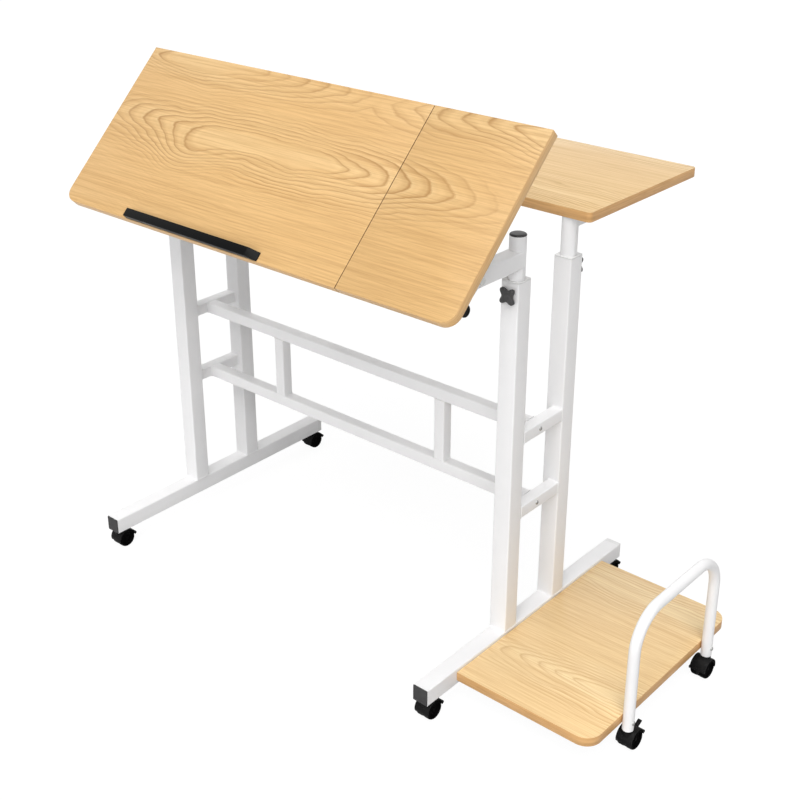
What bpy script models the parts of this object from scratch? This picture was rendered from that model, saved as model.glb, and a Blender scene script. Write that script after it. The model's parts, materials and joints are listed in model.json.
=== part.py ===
"""Mobile laptop table: two clamp-legged side frames on casters, a tilting front top,
a level rear top, and a low side shelf with a guard hoop. Metres, +Z up, front towards -Y."""

import math

import bmesh
import bpy

# Fits
FIT = 0.0003
SLIDE_CLEARANCE = 0.0003
TURN_CLEARANCE = 0.0004

# Tops
TOP_WIDTH = 0.800
TOP_THICKNESS = 0.015
TILT_TOP_DEPTH = 0.298
REAR_TOP_DEPTH = 0.298
TOP_SPLIT = 0.004
SIDE_BOARD_WIDTH = 0.200
TILT_CORNER_RADIUS = 0.022
REAR_CORNER_RADIUS = 0.007
BOARD_EDGE = 0.0008
TILT_ANGLE = math.radians(45.0)
FLAT_CLEARANCE = 0.0005

# Side frames
FRAME_SPACING = 0.716
LEG_TUBE = 0.030
LEG_WALL = 0.0012
LEG_PITCH = 0.1273
UPRIGHT_LENGTH = 0.579
FOOT_TUBE = 0.028
FOOT_WALL = 0.0015
FOOT_FRONT_REACH = 0.2018
FOOT_REAR_REACH = 0.1935
TUBE_CORNER = 0.002
FRONT_CAP_FLANGE = 0.0012
FRONT_CAP_REVEAL = 0.0008
REAR_CAP_FLANGE = 0.009
REAR_CAP_REVEAL = 0.0001
CAP_TONGUE = 0.012

# Cross frame
RAIL_TUBE = 0.020
RAIL_WALL = 0.0015
UPPER_RAIL_HEIGHT = 0.3925
LOWER_RAIL_HEIGHT = 0.2655
CROSSBAR_SETBACK = 0.0555
STRUT_SPACING = 0.3584
STRUT_OFFSET = 0.0074

# Posts, arms and guide bushes
POST_DIAMETER = 0.0245
POST_WALL = 0.0015
FRONT_POST_LENGTH = 0.450
REAR_POST_LENGTH = 0.440
BUSH_FLANGE = 0.002
BUSH_SKIRT = 0.013
ARM_SIZE = 0.025
ARM_REACH = 0.115
ARM_EDGE = 0.0025
FRONT_RAISE = 0.0175
POST_ABOVE_ARM = 0.0213
POST_CAP_THICKNESS = 0.0025
POST_CAP_PLUG = 0.010
PIVOT_SETBACK = 0.0146
BACK_RAIL_HEIGHT = 0.0155
BACK_RAIL_LENGTH = 0.250
REAR_RAISE = 0.0438
REAR_TOP_LEAD = 0.0139

# Tilt brackets, pins and joining plate
BRACKET_PLATE = 0.003
BRACKET_FRONT = 0.060
BRACKET_BACK = 0.026
EAR_RADIUS = 0.009
PIN_DIAMETER = 0.008
PIN_HEAD_DIAMETER = 0.013
PIN_HEAD = 0.0022
CLAMP_AHEAD = 0.0504
CLAMP_ABOVE = 0.0125
JOINING_PLATE_WIDTH = 0.060
JOINING_PLATE_LENGTH = 0.180
JOINING_PLATE_THICKNESS = 0.002

# Book ledge
LEDGE_WIDTH = 0.014
LEDGE_HEIGHT = 0.010
LEDGE_INSET = 0.0006
LEDGE_LENGTH = 0.290
LEDGE_RAMP = 0.019
LEDGE_TOE = 0.001
LEDGE_FROM_LEFT = 0.158

# Clamp knobs
KNOB_LOBE_CENTRE = 0.0105
KNOB_LOBE_RADIUS = 0.0046
KNOB_WAIST = 0.0088
KNOB_HEAD = 0.0062
KNOB_EDGE = 0.0012
KNOB_NECK_DIAMETER = 0.012
KNOB_STUD_DIAMETER = 0.006
LEG_KNOB_NECK = 0.0028
TILT_KNOB_NECK = 0.0022
TILT_KNOB_DIAMETER = 0.018
TILT_KNOB_HEAD = 0.008
LEG_KNOB_BELOW_TOP = 0.0205
TILT_STUD_TAIL = 0.005

# Side shelf and guard hoop
SHELF_WIDTH = 0.2374
SHELF_DEPTH = 0.394
SHELF_BELOW_FOOT_TOP = 0.0052
SHELF_CORNER_RADIUS = 0.026
HOOP_TUBE = 0.017
HOOP_SPACING = 0.2264
HOOP_TOP = 0.229
HOOP_BEND = 0.055

# Casters
CASTER_HEIGHT = 0.0345
WHEEL_DIAMETER = 0.0316
WHEEL_OUTER_WIDTH = 0.0264
WEB_WIDTH = 0.0052
WEB_FLOOR_GAP = 0.0012
TREAD_ROUNDING = 0.0028
AXLE_DIAMETER = 0.004
CASTER_TRAIL = 0.0077
HOOD_CLEARANCE = 0.0007
HOOD_WALL = 0.001
HOOD_LIP = 0.0028
BOSS_DIAMETER = 0.016
BOSS_HEIGHT = 0.009
STEM_DIAMETER = 0.008
STEM_LENGTH = 0.010
FRONT_STEM_INSET = 0.0128
REAR_STEM_INSET = 0.0213
PEDAL_WIDTH = 0.0062
PEDAL_THICKNESS = 0.003
PEDAL_LENGTH = 0.0095

# Worked-out places, with X = 0 midway between the side frames and Y = 0 at the front uprights
FRAME_X = FRAME_SPACING / 2
FOOT_BASE = CASTER_HEIGHT + FIT
FOOT_TOP = FOOT_BASE + FOOT_TUBE
UPRIGHT_BASE = FOOT_TOP + FIT
UPRIGHT_TOP = UPRIGHT_BASE + UPRIGHT_LENGTH
COLLAR_TOP = UPRIGHT_TOP + FIT + BUSH_FLANGE
ARM_MIDDLE = COLLAR_TOP + FRONT_RAISE + ARM_SIZE / 2
FRONT_POST_TOP = ARM_MIDDLE + ARM_SIZE / 2 + POST_ABOVE_ARM
FRONT_CAP_TOP = FRONT_POST_TOP + FIT + POST_CAP_THICKNESS
PIVOT_Y = -ARM_REACH + PIVOT_SETBACK
UNDERSIDE = FRONT_CAP_TOP + FLAT_CLEARANCE - ARM_MIDDLE
REAR_TOP_FRONT = LEG_PITCH - REAR_TOP_LEAD
TILT_BACK = REAR_TOP_FRONT - TOP_SPLIT - PIVOT_Y
TILT_FRONT = TILT_BACK - TILT_TOP_DEPTH
REAR_POST_TOP = COLLAR_TOP + REAR_RAISE + BACK_RAIL_HEIGHT
REAR_BOARD_BASE = REAR_POST_TOP + FIT
BRACKET_WIDTH = ARM_SIZE + 2 * FIT + 2 * BRACKET_PLATE
SEAM_X = TOP_WIDTH / 2 - SIDE_BOARD_WIDTH
SHELF_TOP = FOOT_TOP - SHELF_BELOW_FOOT_TOP
SHELF_INNER = FRAME_X + FOOT_TUBE / 2 + FIT
SHELF_OUTER = SHELF_INNER + SHELF_WIDTH
SHELF_MIDDLE = LEG_PITCH / 2
HOOP_X = SHELF_OUTER + FIT + HOOP_TUBE / 2
WHEEL_RADIUS = WHEEL_DIAMETER / 2
WELL_RADIUS = WHEEL_RADIUS + HOOD_CLEARANCE
HOOD_RADIUS = WELL_RADIUS + HOOD_WALL
STEM_HOLE = STEM_DIAMETER / 2 + TURN_CLEARANCE
STUD_HOLE = KNOB_STUD_DIAMETER / 2 + TURN_CLEARANCE
PIN_HOLE = PIN_DIAMETER / 2 + TURN_CLEARANCE
BOX_LEFT = -TOP_WIDTH / 2
BOX_RIGHT = max(TOP_WIDTH / 2, HOOP_X + WHEEL_OUTER_WIDTH / 2)
LEDGE_TOP = UNDERSIDE + TOP_THICKNESS + FIT + LEDGE_HEIGHT
LEDGE_FRONT = (TILT_FRONT + LEDGE_INSET) * math.cos(TILT_ANGLE) - LEDGE_TOP * math.sin(TILT_ANGLE)
BOX_FRONT = min(-FOOT_FRONT_REACH, PIVOT_Y + LEDGE_FRONT)
BOX_BACK = max(REAR_TOP_FRONT + REAR_TOP_DEPTH, LEG_PITCH + FOOT_REAR_REACH)
SIDES = {"left": -1, "right": 1}
ALONG_X = (0.0, math.radians(90.0), 0.0)
ALONG_MINUS_X = (0.0, math.radians(-90.0), 0.0)
ALONG_Y = (math.radians(-90.0), 0.0, 0.0)
ALONG_MINUS_Y = (math.radians(90.0), 0.0, 0.0)

# Roundness of turned and bored shapes
SMALL_ROUND = 12
LARGE_ROUND = 20

for old_object in list(bpy.data.objects):
    bpy.data.objects.remove(old_object, do_unlink=True)

parts = bpy.data.collections.new("mobile_laptop_table")
cutters = bpy.data.collections.new("cutters")
bpy.context.scene.collection.children.link(parts)
bpy.context.scene.collection.children.link(cutters)


def make_material(name, colour, roughness, metallic):
    """A plain surface with one colour, given as linear red, green and blue."""
    made = bpy.data.materials.new(name)
    made.use_nodes = True
    shader = made.node_tree.nodes["Principled BSDF"]
    shader.inputs["Base Color"].default_value = (*colour, 1.0)
    shader.inputs["Roughness"].default_value = roughness
    shader.inputs["Metallic"].default_value = metallic
    return made


WOOD = make_material("wood_grain_laminate", (0.80, 0.53, 0.23), 0.45, 0.0)
WHITE_STEEL = make_material("white_painted_steel", (0.85, 0.85, 0.85), 0.4, 0.0)
BRIGHT_STEEL = make_material("zinc_plated_steel", (0.60, 0.60, 0.58), 0.35, 1.0)
WHITE_PLASTIC = make_material("white_plastic", (0.78, 0.78, 0.77), 0.5, 0.0)
GREY_PLASTIC = make_material("dark_grey_plastic", (0.08, 0.078, 0.08), 0.5, 0.0)
BLACK_PLASTIC = make_material("black_plastic", (0.012, 0.012, 0.012), 0.45, 0.0)
WHEEL_PLASTIC = make_material("black_wheel_plastic", (0.02, 0.02, 0.02), 0.6, 0.0)


def make_empty(name, location, parent=None, rotation=(0.0, 0.0, 0.0)):
    """An axis that pieces are placed from."""
    made = bpy.data.objects.new(name, None)
    made.location = location
    made.rotation_euler = rotation
    made.parent = parent
    parts.objects.link(made)
    return made


def place(name, mesh, material, parent, location=(0.0, 0.0, 0.0), rotation=(0.0, 0.0, 0.0)):
    """A finished piece."""
    made = bpy.data.objects.new(name, mesh)
    made.location = location
    made.rotation_euler = rotation
    made.parent = parent
    mesh.materials.append(material)
    parts.objects.link(made)
    return made


def place_tool(name, mesh, parent, location=(0.0, 0.0, 0.0), rotation=(0.0, 0.0, 0.0)):
    """A shape that is cut from a piece or joined to it."""
    made = bpy.data.objects.new(name, mesh)
    made.location = location
    made.rotation_euler = rotation
    made.parent = parent
    made.hide_render = True
    made.display_type = "WIRE"
    cutters.objects.link(made)
    return made


def combine(piece, tool, operation):
    """Cut the tool from the piece (DIFFERENCE) or weld it on (UNION)."""
    modifier = piece.modifiers.new(tool.name, "BOOLEAN")
    modifier.object = tool
    modifier.operation = operation
    modifier.solver = "EXACT"


def round_edges(piece, width, segments=1):
    """Take the sharp edges off a piece."""
    modifier = piece.modifiers.new("rounded_edges", "BEVEL")
    modifier.width = width
    modifier.segments = segments
    modifier.limit_method = "ANGLE"
    modifier.angle_limit = math.radians(40.0)


def arc(radius, start, end, count, centre=(0.0, 0.0)):
    """Points along an arc, with its angles in degrees."""
    points = []
    for index in range(count):
        angle = math.radians(start + (end - start) * index / (count - 1))
        points.append((centre[0] + radius * math.cos(angle), centre[1] + radius * math.sin(angle)))
    return points


def rounded_rectangle(left, right, bottom, top, radii, count=5):
    """Corner radii run from the lower left corner round to the upper left one."""
    corners = ((left, bottom, 180), (right, bottom, 270), (right, top, 0), (left, top, 90))
    points = []
    for (x, y, start), radius in zip(corners, radii):
        if radius == 0.0:
            points.append((x, y))
            continue
        centre_x = x + radius if x == left else x - radius
        centre_y = y + radius if y == bottom else y - radius
        points += arc(radius, start, start + 90, count, (centre_x, centre_y))
    return points


def outline_mesh(name, loops, thickness):
    """A flat outline, with any holes, given a thickness along Z about its middle."""
    curve = bpy.data.curves.new(name, "CURVE")
    curve.dimensions = "2D"
    curve.fill_mode = "BOTH"
    curve.extrude = thickness / 2
    for loop in loops:
        spline = curve.splines.new("POLY")
        spline.points.add(len(loop) - 1)
        for point, (x, y) in zip(spline.points, loop):
            point.co = (x, y, 0.0, 1.0)
        spline.use_cyclic_u = True
    return solid_from_curve(name, curve)


def solid_from_curve(name, curve):
    """A closed mesh from a curve, with its caps welded on."""
    holder = bpy.data.objects.new(name, curve)
    bpy.context.scene.collection.objects.link(holder)
    graph = bpy.context.evaluated_depsgraph_get()
    mesh = bpy.data.meshes.new_from_object(holder.evaluated_get(graph))
    bpy.data.objects.remove(holder, do_unlink=True)
    shape = bmesh.new()
    shape.from_mesh(mesh)
    bmesh.ops.remove_doubles(shape, verts=shape.verts, dist=1e-6)
    bmesh.ops.recalc_face_normals(shape, faces=shape.faces)
    shape.to_mesh(mesh)
    shape.free()
    mesh.materials.clear()
    mesh.name = name
    return mesh


def box_mesh(name, low, high):
    """A box between two corners."""
    shape = bmesh.new()
    bmesh.ops.create_cube(shape, size=1.0)
    for vertex in shape.verts:
        for axis in range(3):
            middle = (low[axis] + high[axis]) / 2
            vertex.co[axis] = middle + vertex.co[axis] * (high[axis] - low[axis])
    mesh = bpy.data.meshes.new(name)
    shape.to_mesh(mesh)
    shape.free()
    return mesh


def cylinder_mesh(name, radius, low, high, count):
    """A cylinder along Z between two heights."""
    shape = bmesh.new()
    bmesh.ops.create_cone(
        shape, cap_ends=True, segments=count, radius1=radius, radius2=radius, depth=high - low
    )
    bmesh.ops.translate(shape, verts=shape.verts, vec=(0.0, 0.0, (low + high) / 2))
    smooth_sides(shape)
    mesh = bpy.data.meshes.new(name)
    shape.to_mesh(mesh)
    shape.free()
    return mesh


def smooth_sides(shape):
    """Shade the walls of a round form smooth and leave its flat ends flat."""
    for face in shape.faces:
        face.smooth = len(face.verts) == 4


def profile_mesh(name, profile):
    """An open profile of (radius, height) points, top to bottom, that a Screw modifier turns."""
    mesh = bpy.data.meshes.new(name)
    points = [(radius, 0.0, height) for radius, height in profile]
    mesh.from_pydata(points, [(i, i + 1) for i in range(len(points) - 1)], [])
    return mesh


def turn(piece, count):
    """Turn a profile about Z."""
    modifier = piece.modifiers.new("turned", "SCREW")
    modifier.steps = count
    modifier.render_steps = count
    modifier.use_merge_vertices = True
    modifier.merge_threshold = 1e-5
    modifier.use_smooth_shade = True


def tube_mesh(name, size, wall, length):
    """A square steel tube along Z with rounded corners and open ends."""
    half = size / 2
    inner = half - wall
    outside = rounded_rectangle(-half, half, -half, half, (TUBE_CORNER,) * 4)
    inside = rounded_rectangle(-inner, inner, -inner, inner, (TUBE_CORNER - wall,) * 4, 2)
    return outline_mesh(name, (outside, inside), length)


def build_feet(root):
    """Square tubes along Y with a stem hole for a caster near each end, and their end caps."""
    front = -FOOT_FRONT_REACH + FRONT_CAP_FLANGE + FIT
    back = LEG_PITCH + FOOT_REAR_REACH - REAR_CAP_FLANGE - FIT
    middle = (front + back) / 2
    height = FOOT_BASE + FOOT_TUBE / 2
    for side, sign in SIDES.items():
        name = side + "_foot"
        mesh = tube_mesh(name, FOOT_TUBE, FOOT_WALL, back - front)
        foot = place(name, mesh, WHITE_STEEL, root, (sign * FRAME_X, middle, height), ALONG_Y)
        for end, stem_y in caster_rows().items():
            hole = cylinder_mesh(name, STEM_HOLE, -FOOT_WALL, 2 * FOOT_WALL, SMALL_ROUND)
            spot = (sign * FRAME_X, stem_y, FOOT_BASE)
            combine(foot, place_tool(name + "_" + end + "_stem_hole", hole, root, spot), "DIFFERENCE")
        front_head = (FRONT_CAP_FLANGE, FRONT_CAP_REVEAL)
        build_foot_cap(name + "_front_cap", root, sign, front, -1, front_head, GREY_PLASTIC)
        rear_head = (REAR_CAP_FLANGE, REAR_CAP_REVEAL)
        build_foot_cap(name + "_rear_cap", root, sign, back, 1, rear_head, WHITE_PLASTIC)


def caster_rows():
    """Where the foot casters' stems stand along Y."""
    return {
        "front": -FOOT_FRONT_REACH + FRONT_STEM_INSET,
        "rear": LEG_PITCH + FOOT_REAR_REACH - REAR_STEM_INSET,
    }


def build_foot_cap(name, root, sign, tube_end, direction, head, material):
    """A plug with a square head, set back from the tube's sides, and a tongue above the caster's stem."""
    flange, reveal = head
    half = FOOT_TUBE / 2
    head_half = half - reveal
    inner = half - FOOT_WALL - (TUBE_CORNER - FOOT_WALL) / 2 - FIT
    head_start = tube_end + direction * FIT
    head_end = head_start + direction * flange
    corner = TUBE_CORNER - reveal
    outside = rounded_rectangle(-head_half, head_half, -head_half, head_half, (corner,) * 4)
    spot = (sign * FRAME_X, (head_start + head_end) / 2, FOOT_BASE + half)
    cap = place(name, outline_mesh(name, (outside,), flange), material, root, spot, ALONG_Y)
    round_edges(cap, flange / 4)
    tongue_end = head_start - direction * CAP_TONGUE
    tongue_start = (head_start + head_end) / 2
    low_y, high_y = sorted((tongue_end, tongue_start))
    tongue_low = FOOT_BASE + FOOT_WALL + STEM_LENGTH
    low = (sign * FRAME_X - inner, low_y, tongue_low)
    high = (sign * FRAME_X + inner, high_y, FOOT_BASE + half + inner)
    combine(cap, place_tool(name + "_tongue", box_mesh(name + "_tongue", low, high), root), "UNION")


def build_uprights(root):
    """Square tubes standing on the feet, each with a clamp stud hole and a guide bush on top."""
    stud_height = COLLAR_TOP - LEG_KNOB_BELOW_TOP
    for side, sign in SIDES.items():
        for end, y, facing in (("front", 0.0, -1), ("rear", LEG_PITCH, 1)):
            name = side + "_" + end + "_upright"
            mesh = tube_mesh(name, LEG_TUBE, LEG_WALL, UPRIGHT_LENGTH)
            spot = (sign * FRAME_X, y, (UPRIGHT_BASE + UPRIGHT_TOP) / 2)
            upright = place(name, mesh, WHITE_STEEL, root, spot)
            hole = cylinder_mesh(name, STUD_HOLE, -2 * LEG_WALL, LEG_WALL, SMALL_ROUND)
            hole_spot = (sign * FRAME_X, y + facing * LEG_TUBE / 2, stud_height)
            turned = ALONG_Y if facing > 0 else ALONG_MINUS_Y
            tool = place_tool(name + "_stud_hole", hole, root, hole_spot, turned)
            combine(upright, tool, "DIFFERENCE")
            build_bush(side + "_" + end + "_guide_bush", root, (sign * FRAME_X, y, UPRIGHT_TOP))


def build_bush(name, root, spot):
    """A collar with a square skirt inside the tube and a round bore for the post."""
    half = LEG_TUBE / 2
    inner = half - LEG_WALL - FIT / 2
    flange = rounded_rectangle(-half, half, -half, half, (TUBE_CORNER,) * 4)
    skirt = rounded_rectangle(-inner, inner, -inner, inner, (TUBE_CORNER - LEG_WALL,) * 4, 2)
    flange_spot = (spot[0], spot[1], spot[2] + FIT + BUSH_FLANGE / 2)
    bush = place(name, outline_mesh(name, (flange,), BUSH_FLANGE), WHITE_PLASTIC, root, flange_spot)
    skirt_length = BUSH_SKIRT + FIT + BUSH_FLANGE / 2
    skirt_spot = (spot[0], spot[1], spot[2] - BUSH_SKIRT + skirt_length / 2)
    skirt_mesh = outline_mesh(name + "_skirt", (skirt,), skirt_length)
    combine(bush, place_tool(name + "_skirt", skirt_mesh, root, skirt_spot), "UNION")
    bore = cylinder_mesh(
        name + "_bore", POST_DIAMETER / 2 + SLIDE_CLEARANCE, -2 * BUSH_SKIRT, 2 * BUSH_SKIRT, LARGE_ROUND
    )
    combine(bush, place_tool(name + "_bore", bore, root, spot), "DIFFERENCE")


def build_cross_frame(root):
    """Connectors in the side frames, two crossbars between them, and two struts."""
    outer = FRAME_X + LEG_TUBE / 2
    rail_x = outer - RAIL_TUBE / 2
    connector_length = LEG_PITCH - LEG_TUBE - 2 * FIT
    crossbar_length = 2 * (outer - RAIL_TUBE - FIT)
    levels = {"upper": UPPER_RAIL_HEIGHT, "lower": LOWER_RAIL_HEIGHT}
    for level, height in levels.items():
        for side, sign in SIDES.items():
            name = side + "_" + level + "_connector"
            mesh = tube_mesh(name, RAIL_TUBE, RAIL_WALL, connector_length)
            place(name, mesh, WHITE_STEEL, root, (sign * rail_x, LEG_PITCH / 2, height), ALONG_Y)
        name = level + "_crossbar"
        mesh = tube_mesh(name, RAIL_TUBE, RAIL_WALL, crossbar_length)
        place(name, mesh, WHITE_STEEL, root, (0.0, CROSSBAR_SETBACK, height), ALONG_X)
    strut_length = UPPER_RAIL_HEIGHT - LOWER_RAIL_HEIGHT - RAIL_TUBE - 2 * FIT
    strut_height = (UPPER_RAIL_HEIGHT + LOWER_RAIL_HEIGHT) / 2
    for side, sign in SIDES.items():
        name = side + "_strut"
        mesh = tube_mesh(name, RAIL_TUBE, RAIL_WALL, strut_length)
        spot = (STRUT_OFFSET + sign * STRUT_SPACING / 2, CROSSBAR_SETBACK, strut_height)
        place(name, mesh, WHITE_STEEL, root, spot)


def build_shelf(root):
    """The low side shelf, with its two outer corners rounded."""
    back = SHELF_MIDDLE + SHELF_DEPTH / 2
    radii = (0.0, SHELF_CORNER_RADIUS, SHELF_CORNER_RADIUS, 0.0)
    outline = rounded_rectangle(
        SHELF_INNER, SHELF_OUTER, SHELF_MIDDLE - SHELF_DEPTH / 2, back, radii, 9
    )
    mesh = outline_mesh("side_shelf", (outline,), TOP_THICKNESS)
    shelf = place("side_shelf", mesh, WOOD, root, (0.0, 0.0, SHELF_TOP - TOP_THICKNESS / 2))
    round_edges(shelf, BOARD_EDGE)


def build_hoop(root):
    """A bent round tube standing at the shelf's outer edge, with a stem socket in each leg."""
    half = HOOP_SPACING / 2
    top = HOOP_TOP - HOOP_TUBE / 2
    bend_y = half - HOOP_BEND
    bend_z = top - HOOP_BEND
    path = [(half, FOOT_BASE)]
    path += arc(HOOP_BEND, 0, 90, 9, (bend_y, bend_z))
    path += arc(HOOP_BEND, 90, 180, 9, (-bend_y, bend_z))
    path.append((-half, FOOT_BASE))
    curve = bpy.data.curves.new("guard_hoop", "CURVE")
    curve.dimensions = "3D"
    curve.bevel_depth = HOOP_TUBE / 2
    curve.bevel_resolution = 4
    curve.use_fill_caps = True
    spline = curve.splines.new("POLY")
    spline.points.add(len(path) - 1)
    for point, (y, z) in zip(spline.points, path):
        point.co = (0.0, y, z, 1.0)
    mesh = solid_from_curve("guard_hoop", curve)
    for face in mesh.polygons:
        face.use_smooth = len(face.vertices) == 4
    hoop = place("guard_hoop", mesh, WHITE_STEEL, root, (HOOP_X, SHELF_MIDDLE, 0.0))
    for end, sign in (("front", -1), ("rear", 1)):
        name = "guard_hoop_" + end + "_socket"
        socket = cylinder_mesh(name, STEM_HOLE, -FIT, STEM_LENGTH + FIT, SMALL_ROUND)
        spot = (HOOP_X, SHELF_MIDDLE + sign * half, FOOT_BASE)
        combine(hoop, place_tool(name, socket, root, spot), "DIFFERENCE")


def build_post(name, root, x, y, top, length, arm_low, arm_high, pivot=None):
    """A round tube with a square arm coped onto it, and a pin hole where the arm is a pivot."""
    radius = POST_DIAMETER / 2
    mesh = cylinder_mesh(name, radius, top - length, top, LARGE_ROUND)
    post = place(name, mesh, WHITE_STEEL, root, (x, y, 0.0))
    arm = place_tool(name + "_arm", box_mesh(name + "_arm", arm_low, arm_high), root, (x, y, 0.0))
    round_edges(arm, ARM_EDGE, 2)
    combine(post, arm, "UNION")
    bore = cylinder_mesh(name + "_bore", radius - POST_WALL, top - length - FIT, top + FIT, LARGE_ROUND)
    combine(post, place_tool(name + "_bore", bore, root, (x, y, 0.0)), "DIFFERENCE")
    if pivot:
        hole = cylinder_mesh(name + "_pivot", PIN_HOLE, -ARM_SIZE, ARM_SIZE, SMALL_ROUND)
        spot = (x, pivot[0], pivot[1])
        combine(post, place_tool(name + "_pivot", hole, root, spot, ALONG_X), "DIFFERENCE")


def build_front_posts(root):
    """The posts in the front uprights, with the forward arms that carry the tilting top."""
    half = ARM_SIZE / 2
    low = (-half, -ARM_REACH, ARM_MIDDLE - half)
    high = (half, half / 4, ARM_MIDDLE + half)
    bore = POST_DIAMETER / 2 - POST_WALL - FIT
    cap_base = FRONT_POST_TOP + FIT
    profile = (
        (0.0, cap_base + POST_CAP_THICKNESS),
        (POST_DIAMETER / 2 - POST_CAP_THICKNESS / 3, cap_base + POST_CAP_THICKNESS),
        (POST_DIAMETER / 2, cap_base + POST_CAP_THICKNESS / 2),
        (POST_DIAMETER / 2, cap_base),
        (bore, cap_base),
        (bore, cap_base - POST_CAP_PLUG),
        (0.0, cap_base - POST_CAP_PLUG),
    )
    for side, sign in SIDES.items():
        x = sign * FRAME_X
        pivot = (PIVOT_Y, ARM_MIDDLE)
        build_post(
            side + "_front_post", root, x, 0.0, FRONT_POST_TOP, FRONT_POST_LENGTH, low, high, pivot
        )
        name = side + "_post_cap"
        cap = place(name, profile_mesh(name, profile), GREY_PLASTIC, root, (x, 0.0, 0.0))
        turn(cap, LARGE_ROUND)


def build_rear_posts(root):
    """The posts in the rear uprights, with the rails that run back under the rear top."""
    half = ARM_SIZE / 2
    low = (-half, -half / 4, REAR_POST_TOP - BACK_RAIL_HEIGHT)
    high = (half, BACK_RAIL_LENGTH, REAR_POST_TOP)
    for side, sign in SIDES.items():
        build_post(
            side + "_rear_post",
            root,
            sign * FRAME_X,
            LEG_PITCH,
            REAR_POST_TOP,
            REAR_POST_LENGTH,
            low,
            high,
        )


def build_rear_top(root):
    """The level board behind the tilting top."""
    half = TOP_WIDTH / 2
    outline = rounded_rectangle(
        -half, half, REAR_TOP_FRONT, REAR_TOP_FRONT + REAR_TOP_DEPTH, (REAR_CORNER_RADIUS,) * 4, 5
    )
    mesh = outline_mesh("rear_top", (outline,), TOP_THICKNESS)
    top = place("rear_top", mesh, WOOD, root, (0.0, 0.0, REAR_BOARD_BASE + TOP_THICKNESS / 2))
    round_edges(top, BOARD_EDGE)


def build_tilting_top(tilt):
    """Two boards joined under their seam, with the book ledge at the front edge."""
    half = TOP_WIDTH / 2
    middle = UNDERSIDE + TOP_THICKNESS / 2
    left_radii = (TILT_CORNER_RADIUS, 0.0, 0.0, 0.0)
    right_radii = (0.0, TILT_CORNER_RADIUS, 0.0, 0.0)
    main = rounded_rectangle(-half, SEAM_X - FIT, TILT_FRONT, TILT_BACK, left_radii, 9)
    narrow = rounded_rectangle(SEAM_X + FIT, half, TILT_FRONT, TILT_BACK, right_radii, 9)
    for name, outline in (("main_tilt_board", main), ("side_tilt_board", narrow)):
        mesh = outline_mesh(name, (outline,), TOP_THICKNESS)
        round_edges(place(name, mesh, WOOD, tilt, (0.0, 0.0, middle)), BOARD_EDGE)
    plate_x = JOINING_PLATE_WIDTH / 2
    plate_middle = (TILT_FRONT + TILT_BACK) / 2
    plate_top = UNDERSIDE - FIT
    low = (SEAM_X - plate_x, plate_middle - JOINING_PLATE_LENGTH / 2, plate_top - JOINING_PLATE_THICKNESS)
    high = (SEAM_X + plate_x, plate_middle + JOINING_PLATE_LENGTH / 2, plate_top)
    place("joining_plate", box_mesh("joining_plate", low, high), BRIGHT_STEEL, tilt)
    build_ledge(tilt)


def build_ledge(tilt):
    """A strip with a square left end and a ramp at its right end."""
    left = -TOP_WIDTH / 2 + LEDGE_FROM_LEFT
    right = left + LEDGE_LENGTH
    base = UNDERSIDE + TOP_THICKNESS + FIT
    outline = (
        (left, base),
        (right, base),
        (right, base + LEDGE_TOE),
        (right - LEDGE_RAMP, base + LEDGE_HEIGHT),
        (left, base + LEDGE_HEIGHT),
    )
    mesh = outline_mesh("book_ledge", (outline,), LEDGE_WIDTH)
    spot = (0.0, TILT_FRONT + LEDGE_INSET + LEDGE_WIDTH / 2, 0.0)
    place("book_ledge", mesh, BLACK_PLASTIC, tilt, spot, ALONG_MINUS_Y)


def build_tilt_bracket(side, sign, tilt):
    """A channel under the board: two ears beside the arm, holed for the pivot and the clamp."""
    name = side + "_tilt_bracket"
    top = UNDERSIDE - FIT
    shoulder = top - 2 * BRACKET_PLATE
    outline = [(BRACKET_BACK, shoulder), (BRACKET_BACK, top), (-BRACKET_FRONT, top)]
    outline.append((-BRACKET_FRONT, shoulder))
    outline += arc(EAR_RADIUS, 185, 280, 4, (-CLAMP_AHEAD, CLAMP_ABOVE))
    outline += arc(EAR_RADIUS, 190, 390, 8)
    swapped = [(-z, y) for y, z in outline]
    spot = (sign * FRAME_X, 0.0, 0.0)
    mesh = outline_mesh(name, (swapped,), BRACKET_WIDTH)
    bracket = place(name, mesh, WHITE_STEEL, tilt, spot, ALONG_X)
    gap = ARM_SIZE / 2 + FIT
    low = (-gap, -2 * BRACKET_FRONT, -2 * EAR_RADIUS)
    high = (gap, 2 * BRACKET_BACK, top - BRACKET_PLATE)
    channel = place_tool(name + "_channel", box_mesh(name + "_channel", low, high), tilt, spot)
    combine(bracket, channel, "DIFFERENCE")
    holes = {"pivot": (0.0, 0.0, PIN_HOLE), "clamp": (-CLAMP_AHEAD, CLAMP_ABOVE, STUD_HOLE)}
    for purpose, (y, z, radius) in holes.items():
        tool_name = name + "_" + purpose + "_hole"
        mesh = cylinder_mesh(tool_name, radius, -BRACKET_WIDTH, BRACKET_WIDTH, SMALL_ROUND)
        hole = place_tool(tool_name, mesh, tilt, (spot[0], y, z), ALONG_X)
        combine(bracket, hole, "DIFFERENCE")


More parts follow.
